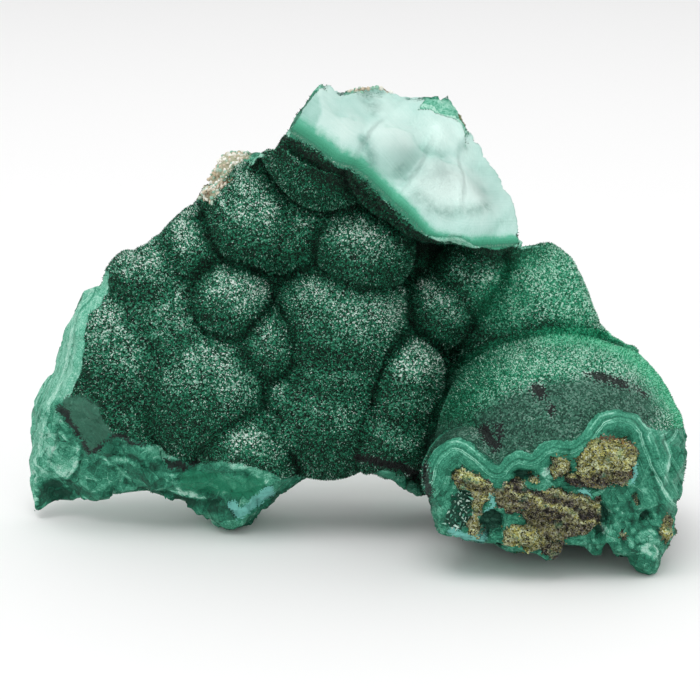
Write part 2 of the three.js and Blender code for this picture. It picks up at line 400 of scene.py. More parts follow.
outside_wall, way_wall, valley_wall, sharp_wall = growth(points, DOMES, COLUMN)
outside_lip, way_lip, valley_lip, sharp_lip = growth(points, LIP, LIP_COLUMN)
lip_is_near = outside_lip < outside_wall
outside = np.where(lip_is_near, outside_lip, outside_wall)
way = np.where(lip_is_near[:, None], way_lip, way_wall)
sharp_between = np.linalg.norm(way_lip - way_wall, axis=1)
valley_between = abs(outside_lip - outside_wall) / np.maximum(sharp_between, FLATTEST)
valley = np.minimum(np.where(lip_is_near, valley_lip, valley_wall), valley_between)


def crease(distance, sharp):
    """How deep in a crease between two domes a place is, from 0 to 1."""
    return ramp(sharp, *CREASE_SHARP) * np.clip(1 - distance / CREASE_WIDTH, 0, 1) ** 2


nearest_valley = np.where(lip_is_near, valley_lip, valley_wall)
creased = crease(nearest_valley, np.where(lip_is_near, sharp_lip, sharp_wall))
creased = np.maximum(creased, crease(valley_between, sharp_between))
normals = read_normals(skin_mesh)
print("points in a crease:", int((creased > 0.2).sum()))
print("points within half a millimetre of the velvet:", int((abs(outside) < 0.5).sum()), "of", len(points))

# %% [markdown]
# ## What the picture shows
#
# Some borders follow no rule: the scalloped edge of a break, a patch of rock, a stain. They are kept as
# drawn on the picture, as outlines and lines. Each point of the skin knows where it shows in the picture
# and how far behind the nearest surface it lies there, so what is drawn covers what the eye sees and runs
# on round the edge for a few millimetres. Noise makes every border wander.

# %% From the picture to the skin
PER_MM = 5
ROUND_THE_EDGE = (4.5, 2.5)
WANDER = (0.3, 1.7)


def pictured(places):
    """Where each place shows in the picture, and its distance from the camera."""
    away = places - camera_at
    reach = -away @ towards_camera
    across = PICTURE / 2 + FOCAL * away[:, 0] / reach
    down = PICTURE / 2 - FOCAL * (away @ camera_up) / reach
    return np.stack([across, down], axis=1), np.linalg.norm(away, axis=1)


def look():
    """Where each point of the skin shows in the picture, and 1 where it is seen or lies close behind."""
    tree = BVHTree.FromPolygons(points.tolist(), [face.vertices[:] for face in skin_mesh.polygons])
    shown, distance = pictured(points)
    eye = Vector(camera_at)
    ways = (points - camera_at) / distance[:, None]
    hits = [tree.ray_cast(eye, Vector(way_out))[3] for way_out in ways.tolist()]
    behind = distance - np.array([hit or far for hit, far in zip(hits, distance)])
    return shown, ramp(behind, *ROUND_THE_EDGE)


def from_line(path):
    """How far each point of the skin shows from a line in the picture, in millimetres."""
    nearest = np.full(len(points), np.inf)
    path = np.array(path, dtype=float)
    for start, end in zip(path, path[1:] if len(path) > 1 else path):
        along = end - start
        away = shown_at - start
        share = np.clip(away @ along / max(along @ along, 1e-9), 0, 1)
        nearest = np.minimum(nearest, np.linalg.norm(away - share[:, None] * along, axis=1))
    return nearest / PER_MM


def beyond(corners):
    """How far each point of the skin shows outside an outline in the picture, in millimetres."""
    inside = np.zeros(len(points), dtype=bool)
    for start, end in zip(corners, corners[1:] + corners[:1]):
        crosses = (start[1] > shown_at[:, 1]) != (end[1] > shown_at[:, 1])
        share = (shown_at[:, 1] - start[1]) / ((end[1] - start[1]) or 1)
        inside ^= crosses & (shown_at[:, 0] < start[0] + share * (end[0] - start[0]))
    distance = from_line(corners + corners[:1])
    return np.where(inside, -distance, distance)


def outlined(corners, soft=0.5, wander=1):
    """How strongly each point of the skin is covered by an outline in the picture, from 0 to 1."""
    return ramp(beyond(corners) + wander * wandering, soft, -soft) * in_view


def patched(patches, soft=0.5, wander=1):
    """How strongly each point of the skin is covered by any of some outlines, from 0 to 1."""
    return np.max([outlined(corners, soft, wander) for corners in patches], axis=0)


def stroked(strokes, soft=0.5):
    """How strongly each point of the skin is covered by some strokes, from 0 to 1."""
    cover = [ramp(from_line(path) - half_width + wandering, soft, -soft) for _, path, half_width in strokes]
    return np.max(cover, axis=0) * in_view


shown_at, in_view = look()
wandering = WANDER[0] * (lumps(points, WANDER[1], 90) + 0.5 * lumps(points, WANDER[1] / 2.3, 91))
print("seen in the picture:", int((in_view > 0.5).sum()), "points of", len(points))

# %% [markdown]
# ## Where the stone broke
#
# A break is known by a point on it and the way it faces, as in the solid. A skin point lies on a break when
# it is close to that plane and faces the same way. On the right side of the lip the test is wider. What
# lies on no break, close to a dome and faces outwards as the dome does, is velvet. What lies outside every
# dome is the rock that the malachite grew on. On the side that the picture shows, the outlines of the
# breaks are drawn, and all the rest of that side is velvet.

# %% Breaks
def facing(turn, rise):
    """The direction of a break: a turn about Z from the front, and a rise."""
    turn, rise = math.radians(turn), math.radians(rise)
    return np.array([math.cos(rise) * math.sin(turn), -math.cos(rise) * math.cos(turn), math.sin(rise)])


LIP_FACE = ((17.5, -15, 65), facing(17, 41))
BALL_FRONT = ((42, -27.5, 16), facing(0, -3))
LEFT_END = ((-60, 5, 27), facing(-72, 10))
LOWER_LEFT = ((-43, -2.8, 19.1), facing(-22, -21))
FOOT_BREAK = ((-26, -4.6, 16.2), facing(-13, -30))
LIP_EDGE = [
    (283, 127), (289, 130), (310, 144), (334, 163), (353, 168), (366, 177), (387, 197), (408, 216),
    (425, 235), (439, 242), (470, 247), (528, 244),
]
STRIP_EDGE = [
    (106, 262), (104, 282), (98, 303), (84, 316), (81, 340), (74, 374), (66, 393), (58, 408), (51, 438),
    (44, 472), (37, 490),
]
LOWER_EDGE = [
    (30, 400), (61, 407), (66, 398), (83, 394), (98, 403), (103, 418), (113, 431), (140, 440), (158, 445),
    (171, 456), (187, 463), (214, 461), (241, 461), (259, 467), (281, 477), (302, 477),
]
BUDS_EDGE = [
    (423, 475), (426, 460), (435, 448), (445, 440), (456, 437), (468, 441), (479, 450), (490, 459),
    (497, 466), (504, 457), (517, 450), (531, 453), (541, 443), (554, 439), (570, 441), (584, 432),
    (592, 420), (598, 413), (618, 408), (639, 413), (649, 425), (665, 430), (700, 424),
]
FLANGE_EDGE = [(652, 436), (658, 452), (664, 468), (672, 482), (679, 494)]
LIP_TOP = [
    (283, 127), (293, 115), (308, 93), (316, 84), (322, 82), (338, 91), (355, 89), (383, 86), (405, 97),
    (428, 96), (448, 96), (464, 118), (490, 163), (512, 197), (519, 233), (528, 247),
]
LIP_SIDE_FROM = (126, 138)
GREEN_LENS = [
    (419, 104), (424, 98), (430, 96), (447, 95), (455, 102), (464, 117), (445, 112),
    (433, 108), (424, 107),
]
SHARD = [(368, 473), (385, 469), (405, 477), (421, 490), (419, 500), (400, 492), (383, 483)]
CREST = [
    (203, 196), (205, 186), (212, 172), (228, 152), (254, 148), (276, 140), (262, 158), (240, 168),
    (222, 180),
]


def above(places, plane):
    """How far each place lies in front of a plane."""
    at, direction = plane
    return (places - DRAWN_FROM - at) @ direction


def on_break(plane, within, sideways=0.45):
    """1 for points on a break, 0 for others."""
    close = ramp(abs(above(points, plane)), within + 0.5, within)
    return close * ramp(normals @ plane[1], sideways - 0.15, sideways + 0.15)


right, inward, height = points.T
lip_outline = LIP_EDGE + [(545, 244), (545, 60), (270, 60)]
in_lip = outlined(lip_outline)
lip_right_side = in_lip * on_break(LIP_FACE, 5, 0.1) * ramp(shown_at[:, 1], *LIP_SIDE_FROM)
lip_plane = np.maximum(on_break(LIP_FACE, 3.6, 0.55), lip_right_side) * ramp(height, 54, 57)
lip_face = lip_plane * np.where(in_view > 0.5, in_lip, 1) * (1 - outlined(GREEN_LENS))
lip_side = in_lip * (1 - lip_face)
proud_of_ball = ramp(growth(points, DOMES[-1:], COLUMN)[0], 0.15, 0.5) * ramp(inward, -11, -14)
in_front_of_ball = ramp(above(points, BALL_FRONT), -1.8, -1.0)
faces_front = ramp(normals[:, 1], 0.2, -0.1)
hidden_buds = np.maximum(proud_of_ball, in_front_of_ball * faces_front) * ramp(right, 9, 12)
ball_front = np.where(in_view > 0.5, outlined(BUDS_EDGE + [(700, 620), (423, 620)]), hidden_buds)
left_end = np.maximum(on_break(LEFT_END, 1.4), outlined(STRIP_EDGE + [(20, 530), (0, 530), (0, 262)]))
lower_left = np.maximum(on_break(LOWER_LEFT, 2.4), on_break(FOOT_BREAK, 2.4))
lower_left = np.where(in_view > 0.5, outlined(LOWER_EDGE + [(302, 540), (30, 540)]), lower_left)
crest = outlined(CREST)
velvet = ramp(abs(outside), 1.0, 0.6) * ramp((normals * way).sum(axis=1), 0.62, 0.82)
velvet *= 1 - lip_is_near * ramp(way[:, 2], 0.2, 0.5)
top_edge = ramp(height, 82, 84) * ramp(right, -6, -2)
velvet = np.maximum(velvet, in_view * ramp(normals @ towards_camera, -0.2, 0.1)) * (1 - top_edge)
for broken in (lip_face, lip_side, ball_front, left_end, lower_left, crest, outlined(SHARD)):
    velvet = velvet * (1 - broken)
rock = ramp(outside, 0.4, 1.2) * (1 - velvet) * (1 - in_view)
rock = rock * ramp(inward, 14, 18) * ramp(normals[:, 2], -0.7, -0.3)
print("velvet", round(velvet.mean(), 2), "rock", round(rock.mean(), 2), "of the skin")

# %% [markdown]
# ## Shape the skin
#
# Velvet goes onto its sphere, with a slow swell on top, because no dome is a true sphere, and sinks where
# two domes meet. The lip is rubbed smooth first. Its silky face then follows the caps of layers inside it:
# each cap is a low paraboloid over the plane of the break, the highest one wins, and thin ledges mark where
# one layer ends on another. Breaks get chips, and low ledges that follow the bands. Rock gets lumps. The
# ball stands on its right end only, so the front of its underside is lifted, and the left end tapers to a
# point. Each of these is scaled by its region, so regions meet without a step.

# %% Swell, caps, ledges and lumps
VELVET_SWELL = ((0.4, 7.5), (0.16, 2.6), (0.05, 0.9))
LIP_CAPS = [
    ("left cap", (338, 132), 1.9, 12),
    ("corner cap", (318, 97), 1.2, 9),
    ("middle cap", (392, 143), 2.3, 10),
    ("lower cap", (455, 196), 3.5, 14),
    ("far cap", (447, 137), 2.0, 12),
    ("top cap", (394, 107), 1.5, 8),
]
SHELVES = [
    (
        "of the lower cap",
        [(414, 131), (423, 146), (434, 155), (447, 160), (461, 162), (480, 170), (498, 182)],
        0.2,
    ),
    ("of the left cap", [(362, 139), (367, 150), (373, 162)], 0.4),
    ("of the middle cap", [(388, 124), (400, 123), (410, 128)], 0.15),
    ("beside the middle cap", [(402, 184), (411, 172), (422, 163)], 0.15),
    ("of the corner cap", [(330, 99), (341, 109), (355, 116)], 0.2),
]
SHELF_DEPTH = 0.8
SHELF_SHADE = 0.25
CAP_SOFTENS = 0.22
LIP_LOWEST = -0.8
CAP_RISE = 4.6
CAPS_END = (0.5, 5.5)
CREASE_DEPTH = 1.2
UNDERCUT = (1.2, 5)
CHIPS = ((0.55, 6.5), (0.22, 2.4))
LOWER_LEFT_ROUGHER = 0.7
LEDGE = 0.22
LEDGE_BAND = 1.3
LEDGE_BEND = 0.08
ROCK_LUMPS = (0.75, 5)
ROCK_CHIPS = (0.4, 2)
PULL = 1.1
BALL_FOOT = [
    (424, 512), (432, 524), (445, 532), (476, 540), (496, 543), (511, 551), (536, 552), (547, 559),
    (554, 557), (563, 542), (581, 543), (592, 555), (601, 556), (604, 542), (609, 541), (614, 553),
    (622, 562),
]
FAR_BELOW = 999
LIFTED_AT_MOST = 4.5
LIFTED_IN_FRONT = (8, 4)
RUBBED = 25
LIP_RUBBED = 0.8
CORNER_RUBBED = 0.5
CORNER_TIP = [(40, 497)]
CORNER_REACH = (4.5, 0)
CORNER_PULL = (-0.9, 0, -2.6)


def rubbed(places, share, rounds):
    """The places drawn towards the middle of their neighbours, by a share from 0 to 1 for each."""
    edges = np.empty(2 * len(skin_mesh.edges), dtype=np.int32)
    skin_mesh.edges.foreach_get("vertices", edges)
    ends = np.concatenate([edges.reshape(-1, 2), edges.reshape(-1, 2)[:, ::-1]])
    count = np.bincount(ends[:, 0], minlength=len(places))
    for _ in range(rounds):
        sums = [np.bincount(ends[:, 0], places[ends[:, 1], axis], len(places)) for axis in range(3)]
        places = places + share[:, None] * (np.stack(sums, axis=1) / count[:, None] - places)
    return places


corner = ramp(from_line(CORNER_TIP), *CORNER_REACH)
points = rubbed(points, LIP_RUBBED * lip_face, RUBBED)
points = rubbed(points, CORNER_RUBBED * corner, RUBBED) + corner[:, None] ** 2 * CORNER_PULL
normals = read_normals(skin_mesh)
moved = points - way * (np.clip(outside, -PULL, PULL) * velvet)[:, None]
swell = sum(height * lumps(points, size, 40 + n) for n, (height, size) in enumerate(VELVET_SWELL))
moved += normals * ((swell - CREASE_DEPTH * creased) * velvet)[:, None]

lip_height = np.full(len(points), math.exp(LIP_LOWEST / CAP_SOFTENS))
for _, shown, high, bend in LIP_CAPS:
    sight = line_of_sight(*shown)
    reach = (DRAWN_FROM + LIP_FACE[0] - camera_at) @ LIP_FACE[1] / (sight @ LIP_FACE[1])
    away = points - camera_at - sight * reach
    across = (away**2).sum(axis=1) - (away @ LIP_FACE[1]) ** 2
    lip_height += np.exp((high - across / (2 * bend)) / CAP_SOFTENS)
lip_height = CAP_SOFTENS * np.log(lip_height)
shelf = stroked(SHELVES, 0.8)
lip_height -= SHELF_DEPTH * shelf
# The caps' height is also kept as painted light and shade: the silk is paler on the caps' tops, with painted
# shade in the valleys and along each ledge.
cap = np.clip((lip_height - LIP_LOWEST) / CAP_RISE, 0, 1) - SHELF_SHADE * shelf
from_top = ramp(from_line(LIP_TOP), *CAPS_END)
moved += LIP_FACE[1] * (lip_face * (lip_height * from_top - above(points, LIP_FACE)))[:, None]
cut_away = np.clip(beyond(lip_outline), 0, UNDERCUT[1]) * UNDERCUT[0] * lip_plane * (1 - lip_face)
moved -= LIP_FACE[1] * (cut_away * (in_view > 0.5))[:, None]

depth = -outside
rings = lumps(np.stack([depth, 0 * depth, 0 * depth], axis=1) + LEDGE_BEND * points, LEDGE_BAND, 50)
broken = np.clip(1 - velvet - lip_face - rock, 0, 1)
relief = sum(height * chips(points, size, 60 + n) for n, (height, size) in enumerate(CHIPS)) + LEDGE * rings
moved += normals * (relief * broken * (1 + LOWER_LEFT_ROUGHER * lower_left) * (1 - corner))[:, None]
rough = ROCK_LUMPS[0] * layered(points, ROCK_LUMPS[1], 70) + ROCK_CHIPS[0] * chips(points, ROCK_CHIPS[1], 80)
moved += normals * (rough * rock)[:, None]
under = shown_at[:, 1] - np.interp(shown_at[:, 0], *zip(*BALL_FOOT), left=FAR_BELOW, right=FAR_BELOW)
moved[:, 2] += np.clip(under / PER_MM, 0, LIFTED_AT_MOST) * ramp(inward, *LIFTED_IN_FRONT)
moved[:, 2] = np.maximum(moved[:, 2], 0)
write_points(skin_mesh, moved)
print("points moved by up to", round(float(np.linalg.norm(moved - points, axis=1).max()), 2), "mm")
points = moved
normals = read_normals(skin_mesh)

# %% [markdown]
# ## Fit the outline
#
# Up to here the skin follows the stone's outline to within a little over three millimetres. The picture
# shows it more closely, so the rest is done by a gentle stretch. Seen from the stone's heart, each point
# that shows near the outline moves outwards or inwards, as far as the outline has to go there, and points
# further in move less and less.

# %% Stretch to the outline
HEART = (340, 360)
OUTLINE = [
    (36, 508), (27, 490), (30, 450), (31, 410), (38, 390), (53, 370), (58, 350), (64, 330), (75, 310),
    (84, 290), (102, 280), (104, 270), (113, 259), (124, 250), (142, 244), (162, 232), (182, 212),
    (198, 198), (208, 178), (226, 151), (245, 152), (262, 152), (276, 146), (286, 131), (293, 117),
    (302, 105), (312, 91), (318, 84), (323, 82), (332, 86), (338, 91), (352, 89), (372, 86), (385, 88),
    (396, 94), (410, 97), (422, 97), (432, 95), (447, 95), (455, 104), (464, 118), (475, 140), (490, 163),
    (508, 190), (513, 200), (519, 233), (526, 247), (545, 240), (552, 243), (562, 249), (572, 259),
    (582, 277), (592, 304), (602, 326), (622, 338), (642, 353), (662, 377), (672, 394), (684, 421),
    (688, 435), (687, 460), (683, 490), (678, 510), (673, 530), (661, 550),
]
STRETCH_REACH = 60
STRETCH_WHOLE = 4
STRETCH_AT_MOST = 16
STRETCH_ENDS = 8
LOOKS_AROUND = 0.8


def around(places):
    """The turn from straight up, in degrees, and the distance from the stone's heart, in the picture."""
    away = np.asarray(places, dtype=float) - HEART
    return np.degrees(np.arctan2(away[:, 0], -away[:, 1])), np.linalg.norm(away, axis=1)


shown_at, distance = pictured(points)
turn, radius = around(shown_at)
drawn_turn, drawn_radius = around(OUTLINE)
turns = np.arange(drawn_turn[0], drawn_turn[-1])
own = np.array([radius[abs(turn - one) < LOOKS_AROUND].max() for one in turns])
gap = np.clip(np.interp(turns, drawn_turn, drawn_radius) - own, -STRETCH_AT_MOST, STRETCH_AT_MOST)
ends = np.minimum(turn - turns[0], turns[-1] - turn)
edge = np.interp(turn, turns, own)
near_edge = ramp(radius, edge - STRETCH_REACH, edge - STRETCH_WHOLE)
shift = np.interp(turn, turns, gap) * near_edge * ramp(ends, 0, STRETCH_ENDS)
outwards = (shown_at - HEART) / radius[:, None] * (shift * distance / FOCAL)[:, None]
points = points + outwards[:, :1] * np.array([1, 0, 0]) - outwards[:, 1:] * camera_up
points[:, 2] = np.maximum(points[:, 2], 0)
write_points(skin_mesh, points)
normals = read_normals(skin_mesh)
off = abs(gap) / PER_MM
print("the outline was off by", round(float(off.mean()), 2), "mm, and at most", round(float(off.max()), 2))

# %% [markdown]
# ## Marks on the stone
#
# Stains, veins, patches of rock, worn places and hollows lie where they lie. Some of them also carry
# painted shade: the stroke under the right column, the shade above the lip's long smudge, the worn stroke
# over the left bud, and the dark colour of the hollows and of the gaps beside the chunks. A patch is an
# outline, and a vein is a stroke of some width. The skin has moved a little since it was last looked at, so
# it is looked at again first.

# %% Patches and veins
CHUNK_TOP = [
    (590, 446), (602, 436.5), (612, 438), (625, 440), (633, 444), (637, 451), (635, 459), (631, 466),
    (606, 468), (592, 474), (566, 477), (575, 472), (574, 464), (579, 457),
]
CHUNK_FOOT = [
    (566, 475), (592, 472), (606, 466), (631, 464), (629, 480), (626, 487), (606, 486), (596, 489),
    (580, 485), (562, 485),
]
LOWER_CHUNK = [
    (496, 489), (513, 482), (523, 485), (529, 490), (544, 490), (560, 486), (576, 495), (592, 496),
    (600, 500), (602, 507), (597, 526), (586, 531), (573, 537), (555, 541), (546, 537), (524, 519),
    (523, 511), (505, 513), (496, 509),
]
LEFT_CHUNK = [
    (455, 477), (459, 470), (464, 464), (466, 472), (478, 474), (484, 480), (493, 485), (491, 496),
    (482, 510), (478, 518), (480, 530), (474, 536), (467, 534), (468, 523), (473, 512), (471, 502),
    (472, 491), (460, 486),
]
LIME_LUMP = [
    (500, 536), (502, 530), (513, 525), (521, 522), (536, 528), (546, 537), (541, 546),
    (528, 551), (505, 544),
]
DARK_LUMP = [(541, 543), (548, 539), (566, 541), (562, 551), (551, 558), (544, 553)]
TAN_CHIP = [(549, 462), (551, 457), (560, 456), (567, 463), (565, 473), (554, 476)]
SMALL_TAN_CHIP = [(531, 480), (537, 476), (542, 479), (538, 484)]
TAN_NODULE = [(661, 520), (668, 516), (672, 524), (671, 536), (666, 545), (661, 540)]
ROCK_PATCHES = [
    (CHUNK_TOP, 0.95), (CHUNK_FOOT, 0.15), (LOWER_CHUNK, 0.3), (LEFT_CHUNK, 0.7), (LIME_LUMP, 0.85),
    (DARK_LUMP, 0.1), (TAN_CHIP, 0.8), (SMALL_TAN_CHIP, 0.8), (TAN_NODULE, 0.9),
    ([(631, 495), (637, 494), (641, 499), (638, 505), (632, 503)], 0.6),
    ([(619, 533), (624, 531), (627, 536), (622, 540)], 0.2),
]
TONE_PATCHES = [
    ("crystal by the chunk", [(541, 475), (543, 469), (551, 470), (555, 476), (547, 481)], 0.4),
    ("crystal in the gap", [(603, 527), (611, 527), (615, 532), (609, 536), (603, 533)], 0.3),
    ("panel", [(48, 448), (79, 446), (77, 469), (66, 480), (57, 477), (45, 462)], 0.2),
    ("patch over the panel", [(56, 430), (61, 431), (67, 438), (62, 440)], 0.4),
    ("dark corner", [(39, 485), (50, 482), (79, 487), (95, 494), (70, 497), (36, 509)], -0.18),
    (
        "dark facet",
        [(118, 462), (132, 459), (148, 473), (150, 485), (139, 487), (130, 482), (120, 467)],
        -0.08,
    ),
    ("haze at the border", [(147, 444), (160, 443), (172, 452), (172, 459), (160, 460), (150, 452)], 0.16),
    ("haze over the foot", [(212, 462), (243, 460), (271, 475), (268, 483), (248, 470), (218, 467)], 0.15),
    ("lens", [(170, 491), (177, 490), (191, 491), (206, 499), (194, 499), (180, 495)], 0.5),
    (
        "dark under the lens",
        [(180, 500), (210, 502), (229, 505), (223, 515), (204, 512), (193, 508)],
        -0.16,
    ),
    ("lens at the bottom", [(204, 516), (214, 513), (221, 517), (218, 523), (209, 523)], 0.15),
    ("knot on the leg", [(640, 535), (655, 530), (659, 548), (655, 562), (642, 553)], 0.2),
    (
        "mint of the crest",
        [(233, 176), (243, 160), (262, 152), (278, 144), (272, 160), (255, 171), (238, 180)],
        0.25,
    ),
    ("side of the lip", [(286, 126), (305, 98), (316, 88), (322, 108), (314, 130), (302, 138)], -0.3),
]
REGION_TONES = {"ball": 0.0, "lower left": -0.04, "strip": 0.2, "lip": 0.3}
SMOOTH_PATCHES = [
    [
        (62, 406), (65, 396), (83, 394), (98, 403), (102, 419), (112, 431), (107, 440), (91, 454),
        (81, 442), (69, 424),
    ],
]
NEEDLE_PATCHES = [
    [
        (442, 518), (449, 507), (453, 494), (461, 490), (472, 492), (471, 504), (472, 513), (466, 523),
        (461, 533), (449, 528),
    ],
]
HOLLOWS = [
    [(481, 521), (486, 516), (492, 510), (505, 515), (506, 523), (499, 535), (486, 536), (481, 530)],
    [
        (598, 500), (604, 503), (607, 515), (601, 522), (604, 533), (596, 538), (592, 530), (598, 520),
        (600, 508),
    ],
    [(512, 474), (519, 470), (525, 473), (533, 473), (532, 479), (524, 481), (517, 478)],
    [(598, 500), (604, 503), (612, 518), (609, 527), (601, 524)],
    [(640, 514), (648, 512), (651, 520), (646, 526), (640, 523)],
]
STAINS_AND_SHADOW = [
    ("upper stain", [(537, 388), (540, 394)], 1.4),
    ("small stain", [(551, 407), (552, 415)], 0.7),
    ("left stain", [(484, 429), (489, 437), (496, 445)], 1.3),
    ("left stain, right half", [(500, 426), (499, 438)], 1.0),
    ("streak", [(585, 373), (600, 375), (613, 379), (626, 384), (638, 390), (646, 396)], 0.5),
    ("middle of the streak", [(598, 376), (614, 380), (624, 384)], 1.0),
    ("edge of the left bud", [(425, 466), (428, 486), (427, 505), (428, 520)], 0.9),
    # Painted shadow: this stroke is a dark cavity in shade under the right column.
    ("under the right column", [(358, 457), (372, 461), (390, 464), (405, 468), (419, 478)], 1.2),
]
VEINS = [
    ("thick vein", [(60, 410), (69, 421), (83, 442), (88, 452)], 0.55),
    ("upper end of the vein", [(60, 409), (66, 414)], 0.9),
    ("thin vein", [(88, 454), (97, 449), (107, 441), (116, 435), (125, 436), (130, 443), (144, 445)], 0.45),
    ("patch by the foot", [(166, 460), (170, 466), (180, 463), (184, 468), (197, 461)], 0.7),
]
TURQUOISE = [
    ("crescent", [(634, 462), (636, 473), (632, 482)], 0.5),
    ("fleck", [(491, 496), (494, 505), (486, 512)], 0.5),
    ("lower edge", [(450, 531), (465, 536), (482, 539)], 0.8),
    ("on the foot", [(232, 505), (240, 515), (250, 506), (262, 496), (270, 491)], 1.0),
    ("under the chunk", [(580, 491), (588, 493)], 0.6),
]
CRACKS = [
    ("beside the panel", [(80, 444), (82, 453), (80, 462), (77, 471), (69, 482), (57, 483)], 0.2),
    (
        "over the facets",
        [(92, 468), (101, 459), (114, 455), (132, 458), (141, 464), (150, 473), (156, 487)],
        0.25,
    ),
    ("between the facets", [(112, 466), (121, 474), (130, 486)], 0.15),
    ("under the haze", [(150, 463), (158, 470), (170, 473), (182, 470)], 0.2),
    ("over the foot", [(176, 480), (198, 478), (221, 473), (243, 473), (258, 483)], 0.2),
    ("under the lens", [(139, 489), (157, 494), (168, 494), (180, 500), (204, 502), (227, 498)], 0.35),
    ("beside the turquoise", [(227, 498), (230, 509), (240, 519)], 0.25),
    ("over the knot", [(634, 536), (642, 528), (654, 526), (662, 533)], 0.25),
    ("across the knot", [(638, 545), (648, 543), (660, 547)], 0.2),
    ("down the leg", [(628, 500), (634, 512), (632, 524), (626, 536)], 0.3),
    ("from the flange", [(650, 470), (656, 484), (661, 498), (659, 512)], 0.2),
]
ROCK_WANDER = 2.6
GAP_LUMPS = 2.4
GAP_DEPTH = 0.6
CRACK_DEPTH = 0.7
CRACK_TONE = -0.34
TONE_SOFT = 0.35
PALE_LINE_TONE = 0.4
BACK_OCHRE = 0.45
PALE_LINES = [
    (
        "edge of the panel",
        [(60, 420), (69, 434), (78, 445), (79, 453), (77, 462), (74, 470), (66, 479)],
        0.15,
    ),
    ("rim of the facets", [(100, 462), (113, 458), (128, 461), (139, 467)], 0.15),
    ("ledge", [(102, 459), (114, 468), (130, 480)], 0.25),
    ("far ledge", [(159, 471), (175, 477)], 0.3),
    ("near ledge", [(137, 447), (148, 449)], 0.3),
    ("on the flange", [(666, 442), (670, 456), (668, 470)], 0.05),
    ("below the flange", [(643, 488), (650, 500), (655, 515)], 0.1),
    ("beside the flange", [(655, 478), (664, 490), (672, 500)], 0.1),
    ("upper edge of the knot", [(640, 534), (648, 530), (657, 534), (660, 545)], 0.2),
    ("lower edge of the knot", [(643, 549), (652, 545), (659, 549), (655, 558)], 0.25),
]
# Worn velvet, partly painted shade: the rubbed ball is worn smooth in a shaded valley, and the stroke over
# the left bud is painted shade.
WORN_AND_SHADED = [
    ("rubbed ball", [(492, 424), (520, 408), (555, 399), (590, 393), (626, 398)], 3.8),
    ("rubbed ball, lower", [(500, 440), (550, 432), (590, 412), (640, 408)], 4.2),
    ("over the left bud", [(440, 440), (458, 432), (475, 440), (488, 452), (500, 462)], 2.2),
]
SMUDGES_AND_SHADE = [
    ("long smudge", [(430, 209), (453, 214), (474, 210), (486, 207)], 0.9),
    # Painted shade: the next stroke darkens the silk above the long smudge.
    ("shade above it", [(418, 196), (428, 203)], 0.9),
    ("spot", [(400, 168), (401, 173)], 0.8),
    ("speck", [(466, 148)], 0.5),
    ("valley of the lip", [(366, 140), (370, 152), (372, 164)], 0.7),
    ("green at the top", [(366, 97), (374, 108)], 1.0),
]
TAN = [
    ("crest", [(208, 190), (216, 175), (228, 158), (240, 152)], 1.9),
    ("top edge", [(350, 90), (372, 87), (388, 89)], 0.5),
]
RUST = [
    ("edge of the crest", [(203, 197), (216, 189), (231, 179)], 0.3),
    ("top edge", [(344, 91), (366, 87), (390, 90)], 0.25),
    (
        "edge of the upper chunk",
        [(602, 437), (612, 438), (630, 443), (637, 452), (633, 464), (628, 470)],
        0.35,
    ),
]
FRESH = [
    ("foot", [(190, 480), (215, 482), (240, 488), (255, 486)], 2.2),
]

shown_at, in_view = look()
rock_patches = np.array([outlined(corners, 0.5, ROCK_WANDER) for corners, _ in ROCK_PATCHES])
any_rock = rock_patches.max(axis=0)
gaps = 4 * any_rock * (1 - any_rock) * ramp(lumps(points, GAP_LUMPS, 120), -0.2, 0.3)
ochre = (rock_patches * np.array([[yellow] for _, yellow in ROCK_PATCHES])).max(axis=0)
marks = {
    "rock": np.maximum(any_rock, rock * (1 - ball_front)),
    "ochre": np.where(any_rock > 0.1, ochre, BACK_OCHRE),
    # Painted shade: the hollows and the gaps beside the chunks are coloured dark.
    "hollow": np.maximum(patched(HOLLOWS, 0.6, 2), GAP_DEPTH * gaps * ball_front),
    "smooth": patched(SMOOTH_PATCHES),
    "needles": patched(NEEDLE_PATCHES),
    "stain_and_shadow": np.maximum(stroked(STAINS_AND_SHADOW, 1.3), stroked(VEINS, 0.5)),
    "rust": stroked(RUST, 0.4),
    "turquoise": stroked(TURQUOISE),
    "worn_and_shaded": stroked(WORN_AND_SHADED, 2.2),
    "smudge_and_shade": stroked(SMUDGES_AND_SHADE, 1.5),
    "tan": stroked(TAN, 0.8),
    "fresh": stroked(FRESH, 1.2),
}
for name, cover in marks.items():
    print(f"{name:10} on {int((cover > 0.5).sum())} points")
regions = {"ball": ball_front, "lower left": lower_left, "strip": left_end, "lip": lip_side}
marks["tone"] = sum(tone * regions[name] for name, tone in REGION_TONES.items())
patch_tones = sum(tone * outlined(corners, TONE_SOFT) for _, corners, tone in TONE_PATCHES)
marks["tone"] += patch_tones + PALE_LINE_TONE * stroked(PALE_LINES)
cracked = stroked(CRACKS, 0.6)
marks["tone"] += CRACK_TONE * cracked

# %% [markdown]
# ## Relief of the marks
#
# Rock is harder than the malachite around it in some places and has crumbled out in others, so the chunks
# of host rock stand proud of the ball's broken front, and the hollows go in. The borders of the chunks sink
# in places, which leaves gaps beside them, and cracks are cut as fine lines that are also darker.

# %% Raise the rock, sink the hollows
CHUNK_RAISED = 1.1
CHUNK_ROUGH = (1.5, 3.4)
HOLLOW_DEPTH = 2.6

front_rock = marks["rock"] * ball_front * ramp(normals[:, 2], -0.5, -0.1)
chunk = CHUNK_RAISED + CHUNK_ROUGH[0] * layered(points, CHUNK_ROUGH[1], 100, 3)
sunk = HOLLOW_DEPTH * marks["hollow"] + CRACK_DEPTH * cracked
moved = points + normals * (chunk * front_rock - sunk)[:, None]
moved[:, 2] = np.maximum(moved[:, 2], 0)
write_points(skin_mesh, moved)
points = moved
normals = read_normals(skin_mesh)
